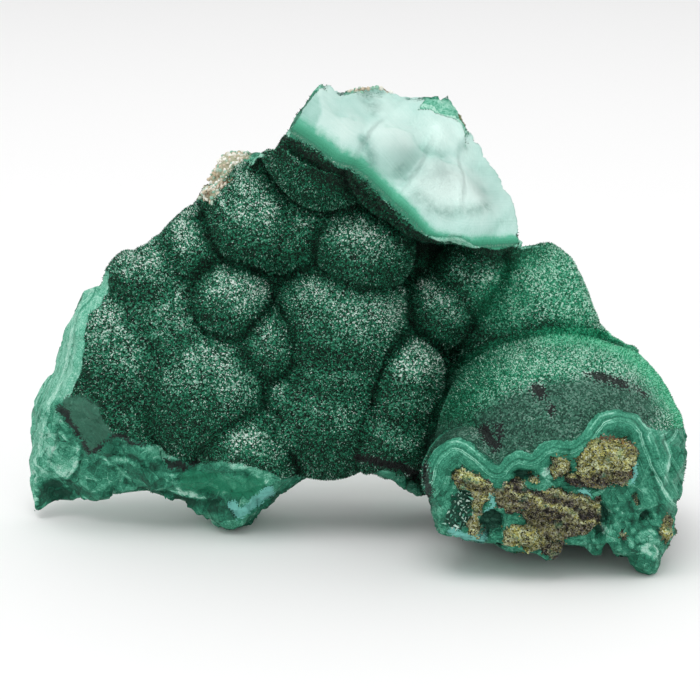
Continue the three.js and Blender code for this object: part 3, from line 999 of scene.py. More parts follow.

# %% [markdown]
# ## What the materials need to know
#
# The bands need the growth depth, and the fibres need the place on the velvet that each point grew towards:
# noise on that place runs in streaks at right angles to the bands, as the needles do. Painted light is
# brightest where a dome faces up and forward towards the overhead lamp and no neighbour is near, with a few
# painted highlights drawn in, and painted shade darkens it in creases and under the lip. A painted green
# sheen lies on the ball's rim as the camera sees it, over the ball's top and on the slope beside it. All of
# it is stored in the mesh as attributes.

# %% Attributes
# The way towards the overhead lamp, for the painted light on the velvet.
LIGHT_WAY = np.array([0.3, -0.5, 0.81])
VALLEY_SHADE_REACH = 3.6
BANDS_FADE = (5.5, 2.5)
BALL_TOP_SHEEN = 0.4
SLOPE_SHEEN = 0.45
SLOPE = [("right slope", [(505, 300), (545, 268), (578, 305)], 6)]
PAINTED_HIGHLIGHTS = [
    ("small dome", [(402, 372), (408, 392)], 2.5),
    ("big dome", [(340, 236), (366, 238)], 3),
    ("lower spray", [(236, 440), (262, 436), (285, 446)], 2),
]
HIGHLIGHT_LIFT = 0.3
STEEP = (0.6, 0.3)
STEEP_SHADE = 0.4
CREASE_SHADE = 0.9
SHADE_UNDER_LIP = (7, 1.5)
LIP_SHADE = 0.9
DRY_FROM = (0.7, 1.1)
BACK_GRAINS = 0.25
RIM_WIDER = ((330, 430), 0.85, 1.4)

way_bud = growth(points, BUDS, BUD_COLUMN)[1]
strip_depth = from_line(STRIP_EDGE)
band_depth = -outside
band_depth = np.where(left_end * in_view > 0.5, strip_depth, band_depth)
band_depth = np.where(ball_front > 0.5, from_line(BUDS_EDGE[:-1] + FLANGE_EDGE), band_depth)
grown_way = np.where((ball_front > 0.5)[:, None], way_bud, way)
foot = points + grown_way * band_depth[:, None]
# Painted light: paler where a dome faces up and forward towards the overhead lamp, away from its valleys.
painted_light = ramp(normals @ LIGHT_WAY, 0.15, 0.95) * (0.35 + 0.65 * ramp(valley, 0.5, VALLEY_SHADE_REACH))
# Painted shade below the lip's lower edge, where it overhangs the velvet.
shade_under_lip = ramp(from_line(LIP_EDGE[1:]), *SHADE_UNDER_LIP) * (beyond(lip_outline) > 0)
# Painted highlights on a few dome crowns.
painted_light += HIGHLIGHT_LIFT * stroked(PAINTED_HIGHLIGHTS, 3)
# Painted shade in the creases, stronger where the surface faces down.
underside = 0.5 + 0.5 * ramp(normals[:, 2], 0.3, -0.2)
underside *= np.clip(0.8 + 0.5 * lumps(points, 14, 130), 0.35, 1)
painted_light -= CREASE_SHADE * creased * underside + LIP_SHADE * shade_under_lip
# Painted shade on the lip: its tone is lower where the caps slope downwards.
cap -= STEEP_SHADE * ramp(normals[:, 2], *STEEP)
left_share = ramp(shown_at[:, 0], *RIM_WIDER[0])
rim = from_line(LIP_EDGE) * (RIM_WIDER[1] + (RIM_WIDER[2] - RIM_WIDER[1]) * left_share)
banded = np.where(ball_front > 0.5, ramp(band_depth, *BANDS_FADE) * 0.8 + 0.2, 0.9) - 0.65 * lower_left
way_ball = growth(points, DOMES[-1:], COLUMN)[1]
on_ball = ramp(abs(growth(points, DOMES[-1:], COLUMN)[0]), 1.2, 0.6)
# Painted green sheen: bright green fur where the ball turns away from the camera towards its rim, over the
# ball's top, and on the right slope.
rim_seen_from_camera = ramp(way_ball @ towards_camera, 0.75, 0.35) * ramp(way_ball[:, 2], 0.05, 0.35)
green_sheen = on_ball * rim_seen_from_camera * ramp(way_ball[:, 0], -0.5, 0.0)
green_sheen = np.maximum(green_sheen, SLOPE_SHEEN * stroked(SLOPE, 3))
green_sheen = np.maximum(green_sheen, BALL_TOP_SHEEN * on_ball * ramp(way_ball[:, 2], -0.2, 0.9) * (1 - marks["worn_and_shaded"]))


def store(mesh, name, values):
    """Keeps a number, or a vector, at each point of a mesh."""
    kind, key = ("FLOAT", "value") if values.ndim == 1 else ("FLOAT_VECTOR", "vector")
    attribute = mesh.attributes.new(name, kind, "POINT")
    attribute.data.foreach_set(key, np.ascontiguousarray(values, dtype=np.float32).ravel())


dry = ramp(points[:, 2], *DRY_FROM)
kept = {
    "fur": velvet * dry,
    "grains": marks["rock"] * dry * (BACK_GRAINS + (1 - BACK_GRAINS) * in_view),
    "velvet": velvet, "silk": lip_face, "rim": rim, "cap": cap, "bud": ball_front,
    "depth": band_depth, "banded": banded, "foot": foot, "painted_light": painted_light, "green_sheen": green_sheen,
}
for name, values in (kept | marks).items():
    store(skin_mesh, name, values)
print("attributes:", ", ".join(sorted(a.name for a in skin_mesh.attributes if not a.name.startswith("."))))

# %% [markdown]
# ## Tools for materials
#
# Node trees are built by a few small helpers: one places a node and fills its sockets, one does arithmetic,
# one mixes two colours, and one turns a number into a colour. Colours are written as screen colours, from 0
# to 255, because that is how an eye compares them, and turned into light when they are used.

# %% Node helpers
ORIGIN = (0.0, 0.0, 0.0)


def paint(red, green, blue):
    """A screen colour, as the light that Blender counts in."""
    light = (((one / 255 + 0.055) / 1.055) ** 2.4 if one > 10 else one / 3295 for one in (red, green, blue))
    return (*light, 1)


def place(nodes, kind, inputs=None, **settings):
    """A new node, with its settings and its inputs filled by values or by other nodes' outputs."""
    node = nodes.nodes.new(kind)
    for name, value in settings.items():
        setattr(node, name, value)
    for socket, value in (inputs or {}).items():
        if isinstance(value, bpy.types.NodeSocket):
            nodes.links.new(value, node.inputs[socket])
        else:
            node.inputs[socket].default_value = value
    return node


def calc(nodes, operation, *values):
    """Arithmetic on values or sockets."""
    return place(nodes, "ShaderNodeMath", dict(enumerate(values)), operation=operation).outputs[0]


def added(nodes, first, *others):
    """The sum of some values or sockets."""
    for other in others:
        first = calc(nodes, "ADD", first, other)
    return first


def swinging(nodes, value, amount):
    """A number from 0 to 1 turned into one that swings about 0, by half the amount each way."""
    return calc(nodes, "MULTIPLY_ADD", value, amount, -amount / 2)


def limited(nodes, value, low=0.0, high=1.0):
    """A number kept between two others."""
    return calc(nodes, "MINIMUM", calc(nodes, "MAXIMUM", value, low), high)


def mixed(nodes, share, first, second):
    """The first colour turning into the second."""
    node = place(nodes, "ShaderNodeMix", {0: share, 6: first, 7: second}, data_type="RGBA")
    return node.outputs[2]


def blended(nodes, share, first, second):
    """The first number turning into the second."""
    return place(nodes, "ShaderNodeMix", {0: share, 2: first, 3: second}, data_type="FLOAT").outputs[0]


def toned(nodes, value, stops, interpolation="LINEAR"):
    """A number as a colour, by stops of (place, colour)."""
    node = place(nodes, "ShaderNodeValToRGB", {0: value})
    node.color_ramp.interpolation = interpolation
    elements = node.color_ramp.elements
    while len(elements) < len(stops):
        elements.new(0.5)
    for element, (at, colour) in zip(elements, stops):
        element.position = at
        element.color = colour
    return node.outputs[0]


def stored(nodes, name, output="Fac"):
    """What the mesh keeps under a name."""
    return place(nodes, "ShaderNodeAttribute", attribute_name=name).outputs[output]


def noise(nodes, vector, scale, detail=2.0, roughness=0.5, **settings):
    """Smooth noise, from 0 to 1."""
    inputs = {"Scale": scale, "Detail": detail, "Roughness": roughness}
    if vector is not None:
        inputs["W" if settings.get("noise_dimensions") == "1D" else "Vector"] = vector
    return place(nodes, "ShaderNodeTexNoise", inputs, **settings).outputs["Fac"]


def cells(nodes, vector, scale):
    """A random number in each cell of a foam, and the distance from the cell's middle."""
    node = place(nodes, "ShaderNodeTexVoronoi", {"Vector": vector, "Scale": scale})
    number = place(nodes, "ShaderNodeSeparateColor", {0: node.outputs["Color"]}).outputs[0]
    return number, node.outputs["Distance"]


def seams(nodes, vector, scale, width):
    """1 on the borders between the same cells, 0 inside them."""
    inputs = {"Vector": vector, "Scale": scale}
    edge = place(nodes, "ShaderNodeTexVoronoi", inputs, feature="DISTANCE_TO_EDGE").outputs["Distance"]
    return calc(nodes, "MAXIMUM", calc(nodes, "MULTIPLY_ADD", edge, -1 / width, 1.0), 0.0)


def shader_group(name, inputs, outputs):
    """An empty node group with its sockets: names with default values in, names and kinds out."""
    group = bpy.data.node_groups.new(name, "ShaderNodeTree")
    for socket, value in inputs.items():
        kind = "NodeSocketVector" if isinstance(value, tuple) else "NodeSocketFloat"
        made = group.interface.new_socket(socket, in_out="INPUT", socket_type=kind)
        made.default_value = value
    for socket, kind in outputs.items():
        group.interface.new_socket(socket, in_out="OUTPUT", socket_type=kind)
    return group, group.nodes.new("NodeGroupInput").outputs, group.nodes.new("NodeGroupOutput")


COLOUR_AND_HEIGHT = {"Color": "NodeSocketColor", "Height": "NodeSocketFloat"}


def finish_group(group, ends, values):
    """Joins a group's results to its outputs."""
    for name, socket in values.items():
        group.links.new(socket, ends.inputs[name])
    return group


def use(nodes, group, inputs):
    """A node group placed in a material."""
    return place(nodes, "ShaderNodeGroup", inputs, node_tree=group).outputs


# %% [markdown]
# ## The colour of velvet
#
# Velvet malachite looks nearly black where one looks down between its needles, pure green on their sides
# and pale on the tips that catch the light. So the colour is a matter of chance for each needle, and the pale
# tips are painted glints. One group turns a random number into that colour. Painted light lifts it where a
# dome faces the overhead lamp, and painted shade lowers it in creases and under the lip. A worn place has
# lost its tips and is an even grey green, and the same worn tones paint the shade over the left bud and on
# the ball's shaded front. A painted green sheen makes the ball's rim and top an even bright green. The same
# group paints the ground between the needles and the needles themselves.

# %% The velvet's colour
# The palest tones are painted glints on the needle tips.
VELVET_TONES = [
    (0.1, paint(1, 24, 14)),
    (0.26, paint(6, 58, 38)),
    (0.44, paint(14, 92, 64)),
    (0.6, paint(38, 134, 100)),
    (0.74, paint(112, 172, 148)),
    (0.9, paint(226, 240, 232)),
]
# Tones of worn velvet, also used for painted shade.
WORN_AND_SHADED_TONES = [(0.2, paint(18, 56, 44)), (0.55, paint(42, 90, 72)), (0.95, paint(78, 126, 108))]
# Tones of the painted green sheen.
SHEEN_TONES = [(0.15, paint(10, 110, 74)), (0.5, paint(44, 178, 130)), (0.95, paint(132, 220, 184))]
GROUND_GRAIN = 1 / 0.28
PAINTED_LIGHT_LIFT = (0.34, -0.18)
PATCH_SCALE = 0.22
PATCH_SWING = 0.3
WORN_AND_SHADED_STRENGTH = 0.93
SHEEN_STRENGTH = 0.9


def velvet_group():
    inputs = {"Chance": 0.5, "Place": ORIGIN, "Painted light": 0.5, "Worn and shaded": 0.0, "Green sheen": 0.0}
    group, given, ends = shader_group("velvet colour", inputs, {"Color": "NodeSocketColor"})
    patches = swinging(group, noise(group, given["Place"], PATCH_SCALE, 3), PATCH_SWING)
    # Painted light and painted shade lift and lower the tone.
    lift = added(group, calc(group, "MULTIPLY_ADD", given["Painted light"], *PAINTED_LIGHT_LIFT), patches)
    value = added(group, given["Chance"], lift)
    colour = toned(group, value, VELVET_TONES)
    states = {"Worn and shaded": (WORN_AND_SHADED_STRENGTH, WORN_AND_SHADED_TONES), "Green sheen": (SHEEN_STRENGTH, SHEEN_TONES)}
    for state, (strength, tones) in states.items():
        share = calc(group, "MULTIPLY", given[state], strength)
        colour = mixed(group, share, colour, toned(group, value, tones))
    return finish_group(group, ends, {"Color": colour})


velvet_colour = velvet_group()
print(velvet_colour.name, "has", len(velvet_colour.nodes), "nodes")

# %% [markdown]
# ## Bands
#
# Each layer of malachite has its own tone, from nearly black green to mint. Noise along one line, read at
# the growth depth, gives bands of uneven width and tone. A little noise from the stone's own place bends
# them, and noise on the foot of the needles draws the fibres across them. Bright hair lines run along the
# bands and fade in and out. Where a break shows few bands, the cells of a foam give it splinters of
# differing tone with seams between them.

# %% The bands' colour
BAND_TONES = [
    (0.15, paint(14, 66, 50)),
    (0.36, paint(28, 104, 80)),
    (0.52, paint(52, 136, 108)),
    (0.68, paint(104, 182, 154)),
    (0.88, paint(176, 222, 204)),
]
BAND_LINES = {"broad": (0.55, 1), "narrow": (2.6, 2), "hair": (5.5, 1)}
BEND_BY = (-0.6, 1.5)
FADING = (16.0, -7.4)
FADING_MOST = 1.7
BUD_LINE = (0.7, 0.3)
BUD_LINE_TONE = 0.16
HAIR_LINE = 0.6
MIDDLE_TONE = 0.45
MOTTLE_SWING = (0.45, -0.22)
SPLINTERS = 0.42
SPLINTERS_STAY = 0.28
SPLINTER_SWING = 0.3
SEAM_WIDTH = 0.07
LOOSE = (-0.8, 1.0)


def bands_group():
    inputs = {"Place": ORIGIN, "Foot": ORIGIN, "Depth": 0.0, "Bud": 0.0, "Tone": 0.0, "Banded": 1.0}
    group, given, ends = shader_group("growth bands", inputs, COLOUR_AND_HEIGHT)
    here, banded = given["Place"], given["Banded"]
    bend_by = calc(group, "MULTIPLY_ADD", given["Bud"], *BEND_BY)
    at = added(group, given["Depth"], calc(group, "MULTIPLY", noise(group, here, 0.35, 3), bend_by))
    lines = {name: noise(group, at, *how, noise_dimensions="1D") for name, how in BAND_LINES.items()}
    fibres = noise(group, given["Foot"], 3.2, 2)
    mottle = noise(group, here, 1.1, 4, 0.65)
    grain = noise(group, here, 4.5, 2, 0.6)
    fading = calc(group, "MULTIPLY_ADD", noise(group, here, 0.16, 1), *FADING)
    fading = limited(group, fading, 0.0, FADING_MOST)
    hair = calc(group, "MAXIMUM", calc(group, "SUBTRACT", lines["hair"], HAIR_LINE), 0.0)
    hair = calc(group, "MULTIPLY", hair, calc(group, "MULTIPLY", banded, fading))
    narrow = calc(group, "MULTIPLY", swinging(group, lines["narrow"], 0.5), banded)
    value = added(group, hair, swinging(group, grain, 0.5), swinging(group, lines["broad"], 0.4), narrow)
    mottled = calc(group, "MULTIPLY_ADD", mottle, *MOTTLE_SWING)
    value = added(group, value, swinging(group, fibres, 0.3), mottled, MIDDLE_TONE, given["Tone"])
    from_line = calc(group, "ABSOLUTE", calc(group, "SUBTRACT", given["Depth"], BUD_LINE[0]))
    line = calc(group, "MULTIPLY_ADD", from_line, -BUD_LINE_TONE / BUD_LINE[1], BUD_LINE_TONE)
    line = calc(group, "MULTIPLY", calc(group, "MAXIMUM", line, 0.0), given["Bud"])
    value = added(group, value, calc(group, "MULTIPLY", line, fading))
    mixture = {0: SPLINTERS_STAY, 4: given["Foot"], 5: here}
    splinter = place(group, "ShaderNodeMix", mixture, data_type="VECTOR").outputs[1]
    loose = calc(group, "MULTIPLY_ADD", banded, *LOOSE)
    facet = calc(group, "MULTIPLY", cells(group, splinter, SPLINTERS)[0], loose)
    sunk = calc(group, "MULTIPLY", loose, -SPLINTER_SWING / 2)
    value = added(group, value, calc(group, "MULTIPLY_ADD", facet, SPLINTER_SWING, sunk))
    seam = calc(group, "MULTIPLY", seams(group, splinter, SPLINTERS, SEAM_WIDTH), loose)
    shine = swinging(group, noise(group, here, 0.5, 2), 1.9)
    value = added(group, value, calc(group, "MULTIPLY", seam, shine))
    height = added(group, calc(group, "MULTIPLY", lines["narrow"], 1.2), calc(group, "MULTIPLY", mottle, 0.9))
    ridges = calc(group, "MULTIPLY_ADD", facet, 1.2, calc(group, "MULTIPLY", seam, -0.4))
    height = added(group, height, ridges)
    return finish_group(group, ends, {"Color": toned(group, value, BAND_TONES), "Height": height})


growth_bands = bands_group()
print(growth_bands.name, "has", len(growth_bands.nodes), "nodes")

# %% [markdown]
# ## Silk
#
# The lip broke along its layers and not across them, so its face shows the ends of fibres: pale, silky,
# with a faint streak. Only towards the lower edge does the break run through the last layers, and they show
# as a bright green band a few millimetres wide, with a frosted fringe where the velvet begins. The distance
# from that edge is kept in the mesh, and the tones follow it.

# %% The silk's colour
SILK_TONES = [
    (0.0, paint(104, 168, 150)),
    (0.25, paint(146, 196, 182)),
    (0.5, paint(184, 220, 211)),
    (0.85, paint(216, 239, 232)),
]
RIM_TONES = [
    (0.0, paint(116, 154, 136)),
    (0.1, paint(44, 118, 92)),
    (0.3, paint(62, 150, 118)),
    (0.6, paint(90, 176, 146)),
    (0.95, paint(150, 208, 190)),
]
RIM_DEPTH = 3.8
RIM_WANDER = 4.0
RIM_ENDS = (2.0, -1.1)
PALEST = 0.2


def silk_group():
    inputs = {"Place": ORIGIN, "Foot": ORIGIN, "Rim": 9.0, "Cap light and shade": 0.5, "Tone": 0.0}
    group, given, ends = shader_group("silky fibres", inputs, COLOUR_AND_HEIGHT)
    streaks = noise(group, given["Foot"], 4.5, 3, 0.6)
    clouds = noise(group, given["Place"], 0.22, 3)
    rings = noise(group, given["Rim"], 2.2, 1, noise_dimensions="1D")
    value = added(group, calc(group, "MULTIPLY", streaks, 0.25), calc(group, "MULTIPLY", clouds, 0.35))
    # Painted light and shade: the silk is paler on the caps' tops than in their valleys.
    value = added(group, value, calc(group, "MULTIPLY_ADD", given["Cap light and shade"], 0.4, given["Tone"]), PALEST)
    pale = toned(group, added(group, value, swinging(group, rings, 0.1)), SILK_TONES)
    wander = swinging(group, noise(group, given["Place"], 0.45, 4, 0.65), RIM_WANDER)
    deep = calc(group, "DIVIDE", added(group, given["Rim"], wander), RIM_DEPTH)
    tone = added(group, calc(group, "DIVIDE", given["Rim"], RIM_DEPTH), swinging(group, rings, 0.3))
    green = toned(group, added(group, tone, swinging(group, streaks, 0.4)), RIM_TONES)
    within = limited(group, calc(group, "MULTIPLY_ADD", deep, *RIM_ENDS))
    return finish_group(group, ends, {"Color": mixed(group, within, green, pale), "Height": streaks})


silky_fibres = silk_group()
print(silky_fibres.name, "has", len(silky_fibres.nodes), "nodes")

# %% [markdown]
# ## Host rock
#
# The rock is an iron-stained gossan: grains of ochre, tan, grey and black, with places that lean to yellow
# and places that lean to brown-grey, and some green that has soaked in. Bent layers run through it at a
# slant, by noise along one direction, and change its shade and its yellow.

# %% The rock's colour
OCHRE_GRAINS = [
    (0.0, paint(30, 32, 24)),
    (0.16, paint(122, 128, 72)),
    (0.34, paint(190, 186, 104)),
    (0.54, paint(212, 216, 160)),
    (0.74, paint(218, 230, 204)),
    (0.9, paint(124, 140, 118)),
]
GREY_GRAINS = [
    (0.0, paint(18, 18, 18)),
    (0.26, paint(54, 54, 52)),
    (0.48, paint(92, 90, 90)),
    (0.68, paint(126, 122, 122)),
    (0.82, paint(140, 124, 62)),
    (0.93, paint(186, 180, 170)),
]
ACROSS_STRATA = (0.35, 0.3, 0.89)
STRATA_BEND = 7.0
ROCK_DARKENED = 0.8
SOAKED = (4.0, -2.6)
SOAKED_MOST = 0.9
ROCK_SHADE = [(0.34, paint(88, 84, 78)), (0.46, paint(176, 172, 160)), (0.6, paint(250, 250, 240))]
SOAKED_GREEN = paint(60, 120, 92)


def rock_group():
    inputs = {"Place": ORIGIN, "Ochre": 0.5, "Chance": 0.0, "Green": 0.3}
    group, given, ends = shader_group("host rock", inputs, COLOUR_AND_HEIGHT)
    here = given["Place"]
    grain, far = cells(group, here, 2.6)
    region = noise(group, here, 0.5, 3)
    by_region = calc(group, "MULTIPLY_ADD", region, 0.5, -0.12)
    value = added(group, calc(group, "MULTIPLY", grain, 0.75), by_region)
    value = calc(group, "FRACT", added(group, value, given["Chance"]))
    across = place(group, "ShaderNodeVectorMath", {0: here, 1: ACROSS_STRATA}, operation="DOT_PRODUCT")
    bend = noise(group, here, 0.35, 4, 0.6)
    across = calc(group, "MULTIPLY_ADD", bend, STRATA_BEND, across.outputs["Value"])
    strata = noise(group, across, 0.6, 3, 0.65, noise_dimensions="1D")
    yellow = added(group, given["Ochre"], swinging(group, region, 0.8), swinging(group, strata, 1.8))
    ochre = toned(group, value, OCHRE_GRAINS, "CONSTANT")
    grey = toned(group, value, GREY_GRAINS, "CONSTANT")
    colour = mixed(group, limited(group, yellow), grey, ochre)
    cloudy = calc(group, "MULTIPLY", noise(group, here, 0.9, 4, 0.6), 0.5)
    shade = toned(group, calc(group, "MULTIPLY_ADD", strata, 0.5, cloudy), ROCK_SHADE)
    shaded = {0: ROCK_DARKENED, 6: colour, 7: shade}
    colour = place(group, "ShaderNodeMix", shaded, data_type="RGBA", blend_type="MULTIPLY").outputs[2]
    soaked = calc(group, "MULTIPLY_ADD", noise(group, here, 0.45, 4), *SOAKED)
    soaked = limited(group, added(group, soaked, given["Green"]), 0.0, SOAKED_MOST)
    height = added(group, calc(group, "MULTIPLY", far, -1.0), noise(group, here, 1.8, 3))
    return finish_group(group, ends, {"Color": mixed(group, soaked, colour, SOAKED_GREEN), "Height": height})


host_rock = rock_group()
print(host_rock.name, "has", len(host_rock.nodes), "nodes")

# %% [markdown]
# ## The stone's material
#
# One material dresses the whole stone, because the regions run into each other on the real one. It starts
# with bands and lays silk, rock, velvet, turquoise and stains over them by the masks that the mesh keeps.
# The stain mask also holds a painted shadow under the right column, and the hollows are coloured with
# painted shade. A mask that is kept half a millimetre apart would end in a blur, so fine noise frays its
# border and a steep slope closes it.

# %% Malachite
TO_MM = (1000, 1000, 1000)
BUMP = 0.00022
DULL = 0.25
FRAY = 0.75
CLOSE = 5.0
STAIN_AND_SHADOW_BLACK = paint(24, 20, 24)
TURQUOISE_BLUE = paint(122, 200, 190)
TAN_CRUST = paint(196, 188, 160)
RUST_BROWN = paint(128, 74, 46)
SMOOTH_GREEN = paint(52, 98, 80)
SMUDGE_AND_SHADE_GREEN = paint(72, 128, 114)
FRESH_GREEN = paint(28, 132, 96)
NEEDLE_GROUND = paint(14, 52, 40)
HOLLOW_SHADE = paint(14, 40, 33)
OVERLAYS = (
    ("fresh", 0.6, FRESH_GREEN),
    ("smooth", 0.8, SMOOTH_GREEN),
    ("needles", 0.9, NEEDLE_GROUND),
    ("turquoise", 0.85, TURQUOISE_BLUE),
    ("tan", 0.75, TAN_CRUST),
    ("rust", 0.7, RUST_BROWN),
    ("hollow", 0.75, HOLLOW_SHADE),
    ("stain_and_shadow", 0.92, STAIN_AND_SHADOW_BLACK),
)
SMUDGE_AND_SHADE_SPREAD = (1.3, -0.2)
UNEVEN = (0.9, 0.55)
SPECK_SHARE = 0.8


def new_material(name, roughness=0.6, specular=0.5, sheen=0.0):
    """A material with its Principled shader, and the uniform values set on that shader."""
    material = bpy.data.materials.new(name)
    material.use_nodes = True
    shader = material.node_tree.nodes["Principled BSDF"]
    shader.inputs["Roughness"].default_value = roughness
    shader.inputs["Specular IOR Level"].default_value = specular
    shader.inputs["Sheen Weight"].default_value = sheen
    shader.inputs["Sheen Roughness"].default_value = 0.3
    shader.inputs["Sheen Tint"].default_value = paint(40, 190, 130)
    return material, material.node_tree, shader


def in_millimetres(nodes):
    """The place on the stone, in millimetres."""
    here = place(nodes, "ShaderNodeTexCoord").outputs["Object"]
    return place(nodes, "ShaderNodeMapping", {"Vector": here, "Scale": TO_MM}).outputs[0]


def frayed(nodes, mask, fray):
    """A mask with its soft border made a ragged edge, and with nothing outside it."""
    cover = stored(nodes, mask)
    border = calc(nodes, "MULTIPLY", cover, calc(nodes, "MULTIPLY_ADD", cover, -4.0, 4.0))
    value = calc(nodes, "MULTIPLY_ADD", border, fray, cover)
    value = calc(nodes, "MULTIPLY_ADD", value, CLOSE, 0.5 - 0.5 * CLOSE)
    return limited(nodes, value)


def stone_material():
    material, nodes, shader = new_material("malachite", 0.6, DULL)
    here = in_millimetres(nodes)
    names = ("depth", "tone", "bud", "banded", "rim", "cap", "ochre", "painted_light", "worn_and_shaded", "green_sheen", "smudge_and_shade")
    kept = {name: stored(nodes, name) for name in names}
    foot_here = stored(nodes, "foot", "Vector")
    fray = calc(nodes, "MULTIPLY_ADD", noise(nodes, here, 3.5, 3, 0.6), 2 * FRAY, -FRAY)
    tone = calc(nodes, "MULTIPLY", kept["tone"], calc(nodes, "MULTIPLY_ADD", fray, 0.5, 1.0))
    given = {"Place": here, "Foot": foot_here, "Depth": kept["depth"], "Bud": kept["bud"], "Tone": tone}
    banded = use(nodes, growth_bands, given | {"Banded": kept["banded"]})
    given = {"Place": here, "Foot": foot_here, "Rim": kept["rim"], "Cap light and shade": kept["cap"], "Tone": kept["tone"]}
    silk = use(nodes, silky_fibres, given)
    stone = use(nodes, host_rock, {"Place": here, "Ochre": kept["ochre"]})
    speck, speck_far = cells(nodes, here, GROUND_GRAIN)
    given = {"Place": here, "Chance": calc(nodes, "MULTIPLY", speck, SPECK_SHARE), "Painted light": kept["painted_light"]}
    fur = use(nodes, velvet_colour, given | {"Worn and shaded": kept["worn_and_shaded"], "Green sheen": kept["green_sheen"]})
    ground = {"Color": fur["Color"], "Height": calc(nodes, "MULTIPLY", speck_far, -1.0)}
    colour, height = banded["Color"], banded["Height"]
    for mask, layer in (("silk", silk), ("rock", stone), ("velvet", ground)):
        covered = frayed(nodes, mask, fray)
        colour = mixed(nodes, covered, colour, layer["Color"])
        height = blended(nodes, covered, height, layer["Height"])
    # Darker green smudges on the silk, one of them painted shade.
    smudge_and_shade_share = calc(nodes, "MULTIPLY_ADD", noise(nodes, here, 0.9, 4, 0.7), *SMUDGE_AND_SHADE_SPREAD)
    colour = mixed(nodes, calc(nodes, "MULTIPLY", kept["smudge_and_shade"], smudge_and_shade_share), colour, SMUDGE_AND_SHADE_GREEN)
    ragged = calc(nodes, "ADD", fray, calc(nodes, "SUBTRACT", 0.4, speck))
    uneven = calc(nodes, "MULTIPLY_ADD", noise(nodes, here, 1.6, 4, 0.7), *UNEVEN)
    uneven = calc(nodes, "MINIMUM", uneven, 1.0)
    for mask, strength, over in OVERLAYS:
        share = calc(nodes, "MULTIPLY", uneven, strength)
        colour = mixed(nodes, calc(nodes, "MULTIPLY", frayed(nodes, mask, ragged), share), colour, over)
    bump = place(nodes, "ShaderNodeBump", {"Height": height, "Distance": BUMP})
    nodes.links.new(colour, shader.inputs["Base Color"])
    nodes.links.new(bump.outputs[0], shader.inputs["Normal"])
    return material


def finish_piece(piece):
    """Lets a piece ride on the stone's body, and prints how many triangles it has."""
    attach(piece, "root")
    print(piece.name, "has", triangles(piece.data), "triangles")


skin_mesh.materials.clear()
skin_mesh.materials.append(stone_material())
skin_mesh.shade_smooth()
stone = show("malachite", skin_mesh)
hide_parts("malachite_specimen")
finish_piece(stone)

# %% [markdown]
# ## Needles
#
# The fur itself is far too fine for the skin: its needles stand a quarter of a millimetre apart or a little
# more. Geometry Nodes scatter points over the velvet, stand a little three-sided spike up from the surface
# at each, lean it at random and give it a size and a number of chance, which the material turns into its
# colour. Where the fur is worn, and where shade is painted over it, the spikes are shorter. They are joined
# into one plain mesh at the end. The stone is dressed in three pieces, side by side, so that none grows too
# large. The same tree, with longer and wider spikes, makes the spray of needles in the broken front of the
# ball.

# %% Grow the needles
NEEDLES = {"Spacing": 0.25, "Height": 0.42, "Width": 0.27, "Lean": 0.35}
SPRAY = {"Spacing": 0.62, "Height": 1.3, "Width": 0.5, "Lean": 0.5}
NEEDLE_SINK = 0.1
NEEDLE_SIZES = (0.6, 1.35)
WORN_SHORTER = 0.8
CROWDED = 4e7
STRIPS = [("left", -90, -18), ("middle", -18, 22), ("right", 22, 90)]


def geometry_tree(name, inputs):
    """An empty geometry node tree: a geometry and named inputs in, a geometry out."""
    tree = bpy.data.node_groups.new(name, "GeometryNodeTree")
    tree.interface.new_socket("Geometry", in_out="INPUT", socket_type="NodeSocketGeometry")
    for socket, kind in inputs.items():
        tree.interface.new_socket(socket, in_out="INPUT", socket_type="NodeSocket" + kind)
    tree.interface.new_socket("Geometry", in_out="OUTPUT", socket_type="NodeSocketGeometry")
    return tree, tree.nodes.new("NodeGroupInput").outputs, tree.nodes.new("NodeGroupOutput")


def named(nodes, name):
    """A number that the mesh keeps under a name."""
    node = place(nodes, "GeometryNodeInputNamedAttribute", {"Name": name}, data_type="FLOAT")
    return node.outputs["Attribute"]


def chance(nodes, low, high, seed, kind="FLOAT"):
    """A random number, or vector, for each point."""
    first = 0 if kind == "FLOAT_VECTOR" else 2
    limits = {first: low, first + 1: high, "Seed": seed}
    return place(nodes, "FunctionNodeRandomValue", limits, data_type=kind).outputs[first // 2]


def realized(nodes, ends, instances, material):
    """Ends a tree: plain mesh, flat faces, one material."""
    mesh = place(nodes, "GeometryNodeRealizeInstances", {"Geometry": instances}).outputs[0]
    mesh = place(nodes, "GeometryNodeSetShadeSmooth", {"Geometry": mesh, "Shade Smooth": False}).outputs[0]
    mesh = place(nodes, "GeometryNodeSetMaterial", {"Geometry": mesh, "Material": material}).outputs[0]
    nodes.links.new(mesh, ends.inputs[0])
    return nodes


def scattered(nodes, given, share):
    """Points over a mesh, no two closer than the spacing, kept by a share from 0 to 1."""
    inputs = {"Mesh": given["Geometry"], "Distance Min": given["Spacing"], "Density Max": CROWDED}
    inputs |= {"Density Factor": share, "Seed": given["Seed"]}
    return place(nodes, "GeometryNodeDistributePointsOnFaces", inputs, distribute_method="POISSON").outputs


def with_chance(nodes, instances, seed):
    """Instances that each keep a random number, called chance."""
    kept = {"Geometry": instances, "Name": "chance", "Value": chance(nodes, 0.0, 1.0, seed)}
    kind = {"data_type": "FLOAT", "domain": "INSTANCE"}
    return place(nodes, "GeometryNodeStoreNamedAttribute", kept, **kind).outputs[0]


